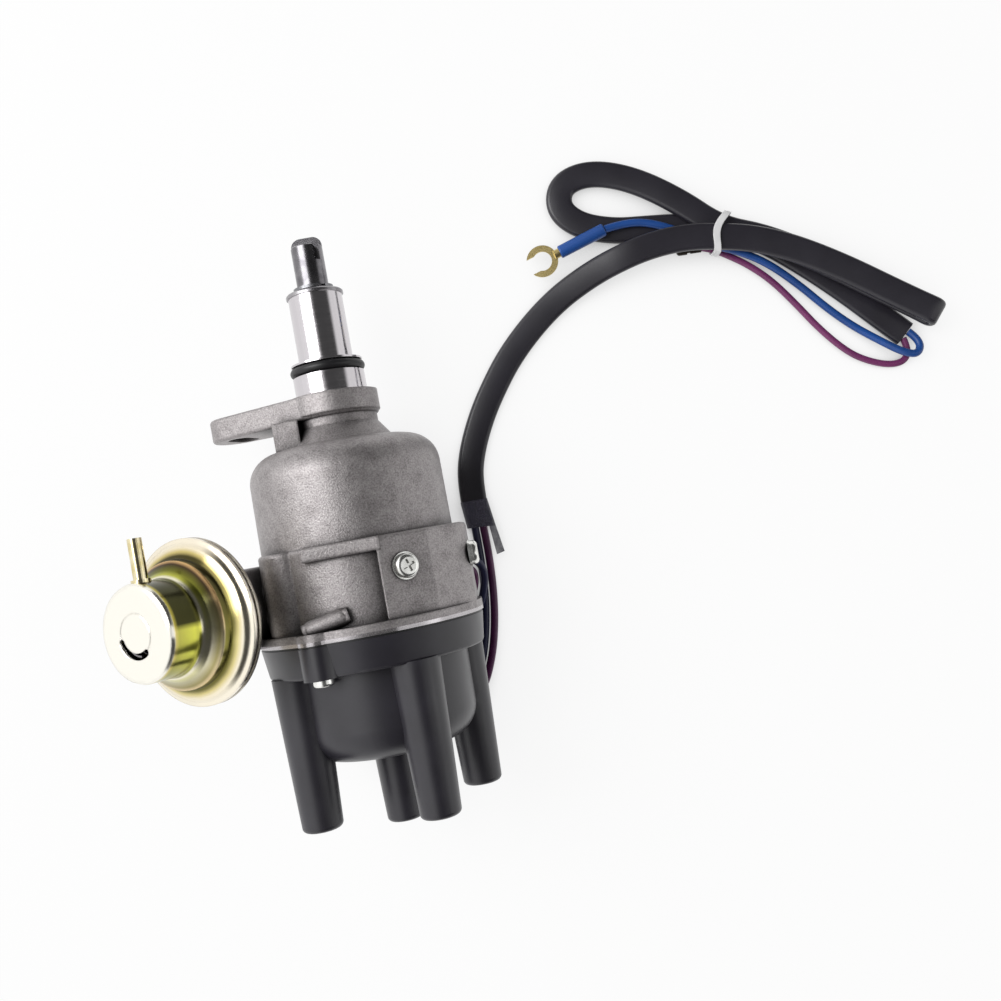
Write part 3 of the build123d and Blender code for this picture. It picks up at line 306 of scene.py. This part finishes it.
# small bright and dull metal pieces
screwMaterial = plainMetal("bright zinc on steel screws", "#f6f6f3", "#dededa", 0.22, 0.3, 0.015)
shaftMaterial = plainMetal("ground steel shaft", "#8a888b", "#6d6b6f", 0.24, 0.4, 0.01)
washerMaterial = plainMetal("stamped steel washer", "#a8a6a8", "#88868a", 0.3, 0.4, 0.02)
weightMaterial = plainMetal("stamped steel plate", "#8f8f92", "#6f6f72", 0.35, 0.4, 0.02)
brassMaterial = plainMetal("stamped brass", "#dcc88e", "#ceb97c", 0.3, 0.3, 0.01)
springMaterial = plainMetal("spring steel wire", "#9c9a9c", "#7d7b7e", 0.28, 0.4, 0.01)
darkBrassMaterial = plainMetal("brass gone dark", "#2f2a24", "#26211c", 0.5, 0.3, 0.02)
bronzeMaterial = plainMetal("sintered bronze", "#b98a50", "#8f6a3a", 0.4, 0.3, 0.03)
copperMaterial = plainMetal("enamelled copper winding", "#b8622f", "#8a4420", 0.3, 0.3, 0.02)
studMaterial = plainMetal("cast-in aluminium studs", "#cfcfd0", "#aeaeb0", 0.35, 0.3, 0.02)
# matt blacks: rubber, ferrite and carbon
rubberMaterial = mouldedPlastic("nitrile rubber ring", "#1c1b1e", "#141416", 0.42, 0.4, 0.02)
grommetMaterial = mouldedPlastic("rubber grommet", "#1d1c1f", "#151417", 0.5, 0.4, 0.03)
ferriteMaterial = mouldedPlastic("bonded ferrite", "#2c2b2b", "#222121", 0.6)
carbonMaterial = mouldedPlastic("pressed carbon", "#1a1a1a", "#101010", 0.6)
# harness: black tube with a faint long sheen, leads in plain saturated colours, a pale tie
tubeMaterial = mouldedPlastic("soft vinyl tube, extruded", "#2d2b33", "#25232a", 0.33, 0.9, 0.03, 0.2)
blueMaterial = mouldedPlastic("blue vinyl lead, extruded", "#2355a4", "#1c4688", 0.36, 0.7, 0.02)
purpleMaterial = mouldedPlastic("purple vinyl lead, extruded", "#84396f", "#6b2c5c", 0.38, 0.7, 0.02)
darkPurpleMaterial = mouldedPlastic("dark purple vinyl lead, extruded", "#6a2560", "#54204e", 0.36, 0.7, 0.02)
navyMaterial = mouldedPlastic("navy vinyl lead, extruded", "#2b2e55", "#202344", 0.4, 0.7, 0.02)
sleeveMaterial = smokedVinyl("smoked vinyl sleeve", "#686676", 0.26, 0.66)
tieMaterial = mouldedPlastic("natural nylon band", "#f0f0f0", "#dedee0", 0.35, 0.7, 0.02)

nodeMaterials = {
    "housing": castMaterial, "cap": capMaterial, "cap_gasket": rubberMaterial,
    "canister_front_shell": zincMaterial, "canister_back_shell": zincMaterial,
    "vacuum_nipple": nippleMaterial,
    "drive_shaft": shaftMaterial, "thrust_washer": washerMaterial, "shaft_circlip": weightMaterial,
    "cap_screws": screwMaterial, "base_screws": screwMaterial, "base_screw_washers": screwMaterial,
    "canister_screws": screwMaterial, "lead_grommet": grommetMaterial,
    "drive_end_bush": bronzeMaterial, "inner_bush": bronzeMaterial,
    "governor_plate": weightMaterial, "weight_pivot_pins": shaftMaterial,
    "advance_weight_a": weightMaterial, "advance_weight_b": weightMaterial,
    "rotor_sleeve": shaftMaterial, "pickup_base_plate": weightMaterial,
    "pickup_plate": washerMaterial, "pickup_coil": copperMaterial, "ring_magnet": ferriteMaterial,
    "stator": weightMaterial, "reluctor": shaftMaterial, "rotor_arm": rotorMaterial,
    "rotor_blade": brassMaterial, "side_terminals": studMaterial, "centre_terminal": studMaterial,
    "carbon_brush": carbonMaterial, "diaphragm": rubberMaterial,
    "diaphragm_plates": washerMaterial, "pull_rod": washerMaterial,
    "lead_sleeve": sleeveMaterial, "terminal_sleeve": blueMaterial, "fork_terminal": brassMaterial,
    "bullet_terminal": darkBrassMaterial,
}
for nodeName, nodeMaterial in nodeMaterials.items():
    dress(nodeName, nodeMaterial)
print("materials on the solid pieces")


# ---- cords
def routeCurve(name, route, diameterMm):
    # route: (x, y, height above the surface) in mm, as control points of one smooth line
    data = bpy.data.curves.new(name, "CURVE")
    data.dimensions = "3D"
    spline = data.splines.new("NURBS")
    spline.points.add(len(route) - 1)
    for point, (x, y, height) in zip(spline.points, route):
        point.co = (x * mm, y * mm, height * mm + restHeight, 1)
    spline.order_u = 3
    spline.use_endpoint_u = True
    spline.resolution_u = 8
    data.bevel_depth = diameterMm / 2 * mm
    data.bevel_resolution = 5
    data.use_fill_caps = True
    piece = bpy.data.objects.new(name, data)
    scene.collection.objects.link(piece)
    return piece


def smoothLine(route):
    # points along the smooth line of a route, and nothing else
    guide = routeCurve("guide", route, 0)
    bpy.context.view_layer.update()
    mesh = bpy.data.meshes.new_from_object(guide)
    points = [vertex.co.copy() for vertex in mesh.vertices]
    bpy.data.objects.remove(guide)
    bpy.data.meshes.remove(mesh)
    return points


def lineLength(points):
    return sum((b - a).length for a, b in zip(points, points[1:]))


tubeShape = {
    "widthMm": 11.0, "thicknessMm": 3.4, "wallMm": 0.5, "edgeSteps": 7, "smoothDeg": 50,
    "route": [
        (45.2, -47.7, 2.4), (45.2, -39.5, 2.4), (47.2, -30.0, 2.2), (52.0, -18.5, 2.0), (59.2, -6.0, 2.0),
        (72.0, 11.0, 2.0), (91.0, 27.3, 2.6), (109.4, 36.3, 6.2), (126.0, 40.8, 10.8), (139.0, 43.1, 10.8),
        (152.0, 43.4, 10.8), (163.9, 41.5, 10.8), (177.5, 38.3, 10.8), (193.0, 31.6, 10.8),
        (211.6, 20.0, 11.0), (230.0, 6.1, 11.8), (240.0, -1.4, 12.6), (246.4, -5.9, 12.9),
        (246.4, -5.9, 7.0), (240.0, -0.6, 7.0), (225.0, 10.2, 7.0), (205.0, 25.0, 7.0), (184.0, 38.5, 7.0),
        (165.7, 45.5, 7.0), (151.0, 60.5, 6.0), (133.5, 73.5, 4.5), (117.0, 79.3, 3.6), (104.5, 76.5, 3.2),
        (101.5, 66.5, 3.0), (109.0, 58.0, 3.0), (123.0, 53.0, 3.3), (137.0, 51.6, 3.3), (151.0, 50.0, 3.3),
        (165.7, 45.5, 3.3), (182.0, 40.0, 3.3), (199.0, 26.0, 2.9), (214.0, 11.5, 2.7), (226.5, -2.0, 2.6),
        (235.0, -11.0, 2.4),
    ],
}


def flatProfile(shape):
    # closed outline of the flattened tube: two flat runs joined by round edges
    data = bpy.data.curves.new("tubeProfile", "CURVE")
    data.dimensions = "2D"
    radius = shape["thicknessMm"] / 2
    reach = shape["widthMm"] / 2 - radius
    steps = shape["edgeSteps"]
    outline = []
    for side, start in ((1, -90), (-1, 90)):
        for step in range(steps + 1):
            turn = math.radians(start + 180 * step / steps)
            outline.append((side * reach + radius * math.cos(turn), radius * math.sin(turn)))
    spline = data.splines.new("POLY")
    spline.points.add(len(outline) - 1)
    for point, (x, y) in zip(spline.points, outline):
        point.co = (x * mm, y * mm, 0, 1)
    spline.use_cyclic_u = True
    profile = bpy.data.objects.new("tubeProfile", data)
    scene.collection.objects.link(profile)
    return profile


def selectOnly(piece):
    bpy.ops.object.select_all(action="DESELECT")
    piece.select_set(True)
    bpy.context.view_layer.objects.active = piece


def cleanMesh(mergeMm=0.0, closeHoles=False):
    # merges doubles, closes open ends and turns the active piece's normals outward
    bpy.ops.object.mode_set(mode="EDIT")
    bpy.ops.mesh.select_all(action="SELECT")
    if mergeMm:
        bpy.ops.mesh.remove_doubles(threshold=mergeMm * mm)
    if closeHoles:
        bpy.ops.mesh.fill_holes(sides=0)
    bpy.ops.mesh.normals_make_consistent(inside=False)
    bpy.ops.object.mode_set(mode="OBJECT")


def flatTube(shape):
    piece = routeCurve("harness_tube_soft", shape["route"], 0)
    profile = flatProfile(shape)
    piece.data.twist_mode = "MINIMUM"
    piece.data.bevel_mode = "OBJECT"
    piece.data.bevel_object = profile
    piece.data.use_fill_caps = False
    selectOnly(piece)
    bpy.ops.object.convert(target="MESH")
    bpy.data.objects.remove(profile)
    cleanMesh(mergeMm=0.02)
    wall = piece.modifiers.new("wall", "SOLIDIFY")
    wall.thickness = shape["wallMm"] * mm
    wall.offset = -1
    bpy.ops.object.modifier_apply(modifier="wall")
    bpy.ops.object.shade_smooth_by_angle(angle=math.radians(shape["smoothDeg"]))
    return piece, smoothLine(shape["route"])


tube, tubePoints = flatTube(tubeShape)
tube.data.materials.append(tubeMaterial)
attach(tube, "base")
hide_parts("harness_tube")

leadShapes = {
    "blue_lead": {
        "material": blueMaterial, "slot": "blue_vinyl", "diameterMm": 3.2, "farEnd": "connector",
        "pieces": ["terminal_sleeve", "fork_terminal"],
        "route": [
            (236.5, -10.2, 2.6), (240.7, -15.1, 3.6), (238.0, -20.8, 5.2), (231.5, -18.4, 5.3),
            (224.3, -12.2, 3.2), (214.5, -3.9, 1.9), (205.0, 5.8, 1.9), (195.7, 16.9, 2.2),
            (184.3, 27.9, 3.6), (173.4, 34.4, 5.6), (162.6, 38.8, 6.5), (150.5, 46.5, 6.7),
            (139.8, 52.3, 7.0), (128.7, 55.0, 7.0), (118.5, 53.4, 7.8),
        ],
    },
    "purple_lead": {
        "material": purpleMaterial, "slot": "purple_vinyl", "diameterMm": 2.8, "farEnd": "connector",
        "pieces": ["bullet_terminal"],
        "route": [
            (234.0, -12.6, 2.4), (235.6, -17.8, 2.0), (233.0, -22.2, 1.8), (226.5, -22.6, 1.8),
            (217.6, -19.1, 1.8), (210.1, -13.9, 1.8), (200.8, -2.9, 1.8), (192.0, 10.8, 1.8),
            (184.3, 21.5, 1.8), (176.0, 29.5, 1.8), (169.0, 34.3, 2.2), (162.6, 38.2, 2.9),
            (157.5, 39.8, 2.9),
        ],
    },
    "pickup_lead_a": {
        "material": darkPurpleMaterial, "slot": "purple_vinyl", "diameterMm": 3.2, "farEnd": "object",
        "pieces": [],
        "route": [
            (47.0, -47.8, 2.4), (47.3, -60.0, 2.4), (47.4, -73.0, 2.2), (46.7, -86.0, 2.2),
            (45.0, -98.5, 2.2), (42.0, -111.0, 2.2), (37.0, -123.0, 2.2), (29.5, -132.5, 2.2),
            (19.5, -135.0, 2.2), (13.0, -128.0, 2.2), (15.0, -117.0, 2.2), (22.0, -107.5, 2.2),
            (30.5, -99.0, 2.6), (36.9, -88.0, 4.8), (40.6, -79.8, 8.0), (39.6, -74.6, 10.8),
            (35.8, -73.8, 14.0),
        ],
    },
    "pickup_lead_b": {
        "material": navyMaterial, "slot": "navy_vinyl", "diameterMm": 3.2, "farEnd": "object",
        "pieces": [],
        "route": [
            (43.4, -47.8, 2.4), (43.8, -60.0, 2.4), (43.8, -73.0, 2.2), (43.1, -86.0, 2.2),
            (41.4, -98.0, 2.2), (38.5, -110.0, 2.2), (34.0, -121.0, 2.2), (27.8, -129.0, 2.2),
            (21.0, -130.6, 2.2), (17.0, -126.0, 2.2), (18.5, -119.0, 2.2), (25.6, -110.5, 2.2),
            (33.8, -101.6, 2.6), (41.4, -89.5, 4.4), (45.0, -77.5, 7.2), (41.6, -70.9, 10.2),
            (35.8, -70.2, 14.0),
        ],
    },
}
for leadName, lead in leadShapes.items():
    piece = routeCurve(leadName + "_soft", lead["route"], lead["diameterMm"])
    piece.data.materials.append(lead["material"])
    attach(piece, "base")
    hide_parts(leadName)
    lineLength(smoothLine(lead["route"]))
print("harness tube and leads")


lugShape = {
    "place": (-10.5, -82.9, 37.0), "size": (17.5, 6.4, 6.4), "tiltDegrees": 12.0, "roundMm": 3.0,
    "roundSteps": 6,
}


def castLug(shape):
    # rounded cast lug on the flange, between the canister's side and the screw
    bpy.ops.object.select_all(action="DESELECT")
    bpy.ops.mesh.primitive_cube_add(size=1, location=[value * mm for value in shape["place"]],
                                    rotation=(0, 0, math.radians(shape["tiltDegrees"])),
                                    scale=[value * mm for value in shape["size"]])
    piece = bpy.context.object
    piece.name = "cast_lug"
    bpy.ops.object.transform_apply(location=True, rotation=True, scale=True)
    bpy.ops.object.mode_set(mode="EDIT")
    bpy.ops.mesh.select_all(action="SELECT")
    bpy.ops.mesh.bevel(offset=shape["roundMm"] * mm, segments=shape["roundSteps"], profile=0.5,
                       affect="EDGES")
    bpy.ops.object.mode_set(mode="OBJECT")
    cleanMesh(mergeMm=0.01)
    bpy.ops.object.shade_smooth()
    piece.data.materials.append(castMaterial)
    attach(piece, "base")
    return piece


castLug(lugShape)

bandShape = {
    "low": (162.5, 35.6), "across": (0.423, 0.906),
    "fromMm": 0.3, "toMm": 16.5, "bottomMm": 0.75, "topMm": 13.0, "widthMm": 3.0, "thickMm": 0.7,
    "roundMm": 3.2, "bowMm": 2.8, "roundSteps": 7, "cuts": 5, "softEdgeMm": 0.18, "smoothDeg": 40,
}


def nylonBand(shape):
    # flat band pulled tight round the bundle, bowed sideways where it lies on the tube
    middle = (shape["fromMm"] + shape["toMm"]) / 2
    centre = [(shape["low"][i] + shape["across"][i] * middle) * mm for i in (0, 1)]
    height = (shape["bottomMm"] + shape["topMm"]) / 2 * mm + restHeight
    bpy.ops.object.select_all(action="DESELECT")
    reach = (shape["toMm"] - shape["fromMm"]) * mm
    tall = (shape["topMm"] - shape["bottomMm"]) * mm
    bpy.ops.mesh.primitive_cube_add(size=1, location=(*centre, height),
                                    rotation=(0, 0, math.atan2(shape["across"][1], shape["across"][0])),
                                    scale=(reach, shape["widthMm"] * mm, tall))
    piece = bpy.context.object
    piece.name = "cable_tie_band"
    bpy.ops.object.transform_apply(location=False, rotation=False, scale=True)
    bpy.ops.object.mode_set(mode="EDIT")
    bpy.ops.mesh.select_mode(type="FACE")
    bpy.ops.mesh.select_all(action="DESELECT")
    bpy.ops.object.mode_set(mode="OBJECT")
    for face in piece.data.polygons:
        face.select = abs(face.normal.y) > 0.9
    bpy.ops.object.mode_set(mode="EDIT")
    bpy.ops.mesh.delete(type="ONLY_FACE")
    bpy.ops.mesh.select_mode(type="EDGE")
    bpy.ops.mesh.select_all(action="DESELECT")
    bpy.ops.object.mode_set(mode="OBJECT")
    for edge in piece.data.edges:
        a, b = (piece.data.vertices[index].co for index in edge.vertices)
        edge.select = abs(a.x - b.x) < 0.01 * mm and abs(a.z - b.z) < 0.01 * mm
    bpy.ops.object.mode_set(mode="EDIT")
    bpy.ops.mesh.bevel(offset=shape["roundMm"] * mm, segments=shape["roundSteps"], profile=0.5,
                       affect="EDGES")
    bpy.ops.mesh.select_all(action="SELECT")
    bpy.ops.mesh.subdivide(number_cuts=shape["cuts"])
    bpy.ops.object.mode_set(mode="OBJECT")
    for vertex in piece.data.vertices:
        vertex.co.y += shape["bowMm"] * mm * math.cos(math.pi * vertex.co.x / reach)
    bpy.ops.object.transform_apply(location=True, rotation=True, scale=True)
    cleanMesh()
    wall = piece.modifiers.new("wall", "SOLIDIFY")
    wall.thickness = shape["thickMm"] * mm
    wall.offset = 1
    bpy.ops.object.modifier_apply(modifier="wall")
    softEdge = piece.modifiers.new("edge", "BEVEL")
    softEdge.width = shape["softEdgeMm"] * mm
    softEdge.segments = 2
    softEdge.limit_method = "ANGLE"
    bpy.ops.object.modifier_apply(modifier="edge")
    bpy.ops.object.shade_smooth_by_angle(angle=math.radians(shape["smoothDeg"]))
    piece.data.materials.append(tieMaterial)
    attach(piece, "base")
    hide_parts("cable_tie")
    return piece


band = nylonBand(bandShape)
print("tie round the bundle")

ringShape = {
    "stationMm": 10.2, "middleMm": 12.2, "sectionMm": 2.05, "flatten": 0.94,
    "aroundSteps": 96, "sectionSteps": 28,
}


def sealRing(shape):
    # O-ring as it sits before the spigot is pressed into the engine: a little proud of its groove
    bpy.ops.object.select_all(action="DESELECT")
    bpy.ops.mesh.primitive_torus_add(
        major_radius=shape["middleMm"] * mm, minor_radius=shape["sectionMm"] * mm,
        major_segments=shape["aroundSteps"], minor_segments=shape["sectionSteps"],
        location=(0, shape["stationMm"] * mm, 0), rotation=(math.radians(90), 0, 0))
    piece = bpy.context.object
    piece.name = "o_ring_free"
    bpy.ops.object.transform_apply(location=False, rotation=True, scale=False)
    bpy.ops.object.mode_set(mode="EDIT")
    bpy.ops.mesh.select_all(action="SELECT")
    bpy.ops.transform.resize(value=(1, shape["flatten"], 1))
    bpy.ops.object.mode_set(mode="OBJECT")
    cleanMesh()
    bpy.ops.object.transform_apply(location=True, rotation=False, scale=False)
    bpy.ops.object.shade_smooth()
    piece.data.materials.append(rubberMaterial)
    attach(piece, "base")
    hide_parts("o_ring")
    return piece


sealRing(ringShape)
print("seal ring")

springShapes = {
    "diaphragm_spring": {
        "start": (-55.15, -74.2, 41.3), "end": (-67.15, -74.2, 61.27), "meanMm": 7.4, "wireMm": 1.1,
        "turns": 6, "joint": "pull_rod_slide", "travelMm": 4.6,
    },
    "brush_spring": {
        "start": (0, -121.1, 0), "end": (0, -129.9, 0), "meanMm": 1.5, "wireMm": 0.5,
        "turns": 8, "joint": "brush_slide", "travelMm": 1.5,
    },
    "governor_spring_a": {
        "start": (22.67, -57.1, 0.61), "end": (9.87, -57.1, -14.56), "meanMm": 1.15, "wireMm": 0.6,
        "turns": 27, "stretch": ("drive", "rotor"),
    },
    "governor_spring_b": {
        "start": (-22.67, -57.1, -0.61), "end": (-9.87, -57.1, 14.56), "meanMm": 1.15, "wireMm": 0.6,
        "turns": 27, "stretch": ("drive", "rotor"),
    },
}


def coilSpring(name, shape, wireSides=10, turnSteps=24, smoothDeg=60):
    # wire wound from start to end; a spring listed to stretch between two bodies is baked in place, the
    # others are put on the base
    start, end = (Vector(shape[key]) * mm for key in ("start", "end"))
    wire = shape["wireMm"] / 2 * mm
    bpy.ops.object.select_all(action="DESELECT")
    bpy.ops.mesh.primitive_circle_add(vertices=wireSides, radius=wire, rotation=(math.radians(90), 0, 0),
                                      location=(shape["meanMm"] * mm, 0, wire))
    piece = bpy.context.object
    piece.name = name + "_wire"
    bpy.ops.object.transform_apply(location=True, rotation=True, scale=True)
    turns = piece.modifiers.new("turns", "SCREW")
    turns.axis = "Z"
    turns.angle = math.radians(360)
    turns.iterations = shape["turns"]
    turns.screw_offset = ((end - start).length - 2 * wire) / shape["turns"]
    turns.steps = turns.render_steps = turnSteps
    bpy.ops.object.modifier_apply(modifier="turns")
    cleanMesh(mergeMm=0.001, closeHoles=True)
    bpy.ops.object.shade_smooth_by_angle(angle=math.radians(smoothDeg))
    piece.rotation_euler = (end - start).to_track_quat("Z", "Y").to_euler()
    piece.location = start
    bpy.ops.object.transform_apply(location=True, rotation=True, scale=True)
    piece.data.materials.append(springMaterial)
    if "stretch" in shape:
        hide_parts("governor_springs")
        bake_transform(piece)
    else:
        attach(piece, "base")
        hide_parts(name)
        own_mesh(piece)
    return piece


for springName, springShape in springShapes.items():
    coilSpring(springName, springShape)
print("springs")


# ---- floor, lights and camera
studio = {
    "floorHex": "#ffffff", "floorShow": 0.9,
    "floorSide": 4.0, "floorMiddle": (0.06, -0.06), "floorGapMm": 0.05,
    # brightness of the surroundings from -X (0) over the top to +X (1)
    "around": [
        (0.0, 1.05), (0.33, 1.05), (0.43, 0.3), (0.48, 0.07), (0.92, 0.07), (0.965, 0.95), (1.0, 0.9),
    ],
    "lampTarget": (0.02, -0.06, 0),
    "lamps": {
        "key": {"place": (-0.55, 0.25, 0.75), "size": (0.5, 0.7), "power": 5.0},
        "fill": {"place": (0.75, -0.2, 0.55), "size": (0.4, 0.8), "power": 0.8},
    },
    # painted contact shadow: share of the paper's white that is left, from where the object covers it (0) to
    # open floor (1)
    "shadowReachMm": 26.0, "contact": [(0.05, 0.3), (0.35, 0.72), (0.75, 0.97), (0.95, 1.0)],
}


def paleFloor(look):
    bpy.ops.object.select_all(action="DESELECT")
    bpy.ops.mesh.primitive_plane_add(
        size=look["floorSide"], location=(*look["floorMiddle"], restHeight - look["floorGapMm"] * mm))
    floor = bpy.context.object
    floor.name = "floor"
    bpy.ops.object.transform_apply(location=True, rotation=True, scale=True)
    material, tree = newMaterial("white paper sweep")
    rays = tree.nodes.new("ShaderNodeLightPath")
    paper = addNode(tree, "ShaderNodeBsdfDiffuse", Color=toLinear(look["floorHex"]))
    # painted contact shadow: the paper's glow darkens where the object closes in over it; only the small
    # diffuse share shows a real shadow
    near = addNode(tree, "ShaderNodeAmbientOcclusion", {"samples": 12}, Distance=look["shadowReachMm"] * mm)
    contact = rampOf(tree, near, "AO", look["contact"])
    glow = addNode(tree, "ShaderNodeEmission", links={"Color": (contact, 0)}, Strength=1.0)
    mirrored = mathNode(tree, "MAXIMUM", (rays, "Is Glossy Ray"), (rays, "Is Transmission Ray"))
    seen = mathNode(tree, "MAXIMUM", (rays, "Is Camera Ray"), (mirrored, 0))
    share = mathNode(tree, "MULTIPLY", (seen, 0), look["floorShow"])
    both = addNode(tree, "ShaderNodeMixShader", links={0: (share, 0), 1: (paper, 0), 2: (glow, 0)})
    finishMaterial(tree, both)
    floor.data.materials.append(material)


def softWorld(look):
    world = bpy.data.worlds.new("studio")
    scene.world = world
    world.use_nodes = True
    tree = world.node_tree
    tree.nodes.clear()
    place = tree.nodes.new("ShaderNodeTexCoord")
    parts = addNode(tree, "ShaderNodeSeparateXYZ", links={0: (place, "Generated")})
    across = addNode(tree, "ShaderNodeMapRange", From_Min=-1, links={"Value": (parts, "X")})
    around = rampOf(tree, across, 0, look["around"])
    sky = addNode(tree, "ShaderNodeBackground", links={"Color": (around, 0)}, Strength=1.0)
    white = addNode(tree, "ShaderNodeBackground", Color=(1, 1, 1, 1), Strength=1.0)
    # a dark flag stands over the +X side and bright metal mirrors it as a dark band; the camera sees white
    rays = tree.nodes.new("ShaderNodeLightPath")
    seen = mathNode(tree, "MAXIMUM", (rays, "Is Camera Ray"), (rays, "Is Transmission Ray"))
    both = addNode(tree, "ShaderNodeMixShader", links={0: (seen, 0), 1: (sky, 0), 2: (white, 0)})
    output = tree.nodes.new("ShaderNodeOutputWorld")
    tree.links.new(both.outputs[0], output.inputs["Surface"])


def softBox(name, place, target, size, power):
    bpy.ops.object.select_all(action="DESELECT")
    bpy.ops.object.light_add(type="AREA", location=place)
    lamp = bpy.context.object
    lamp.name = name
    lamp.data.shape = "RECTANGLE"
    lamp.data.size, lamp.data.size_y = size
    lamp.data.energy = power
    lamp.rotation_euler = (Vector(target) - Vector(place)).to_track_quat("-Z", "Y").to_euler()


paleFloor(studio)
softWorld(studio)
for lampName, lamp in studio["lamps"].items():
    softBox(lampName, lamp["place"], studio["lampTarget"], lamp["size"], lamp["power"])

cameraShape = {
    "place": (56.2, -61.5, 412.9), "right": (0.9842, -0.1772, -0.0047), "up": (0.1773, 0.9838, 0.0258),
    "lensMm": 38.98, "sensorMm": 36.0, "clip": (0.01, 20),
}


def standCamera(shape):
    data = bpy.data.cameras.new("camera")
    data.sensor_fit = "HORIZONTAL"
    data.sensor_width = shape["sensorMm"]
    data.lens = shape["lensMm"]
    data.clip_start, data.clip_end = shape["clip"]
    camera = bpy.data.objects.new("camera", data)
    scene.collection.objects.link(camera)
    right = Vector(shape["right"]).normalized()
    back = right.cross(Vector(shape["up"])).normalized()
    up = back.cross(right)
    camera.matrix_world = Matrix.Translation(Vector(shape["place"]) * mm) @ Matrix(
        ((right.x, up.x, back.x), (right.y, up.y, back.y), (right.z, up.z, back.z))).to_4x4()
    scene.camera = camera


standCamera(cameraShape)
scene.view_settings.view_transform = "Standard"
print("floor, lights and camera")
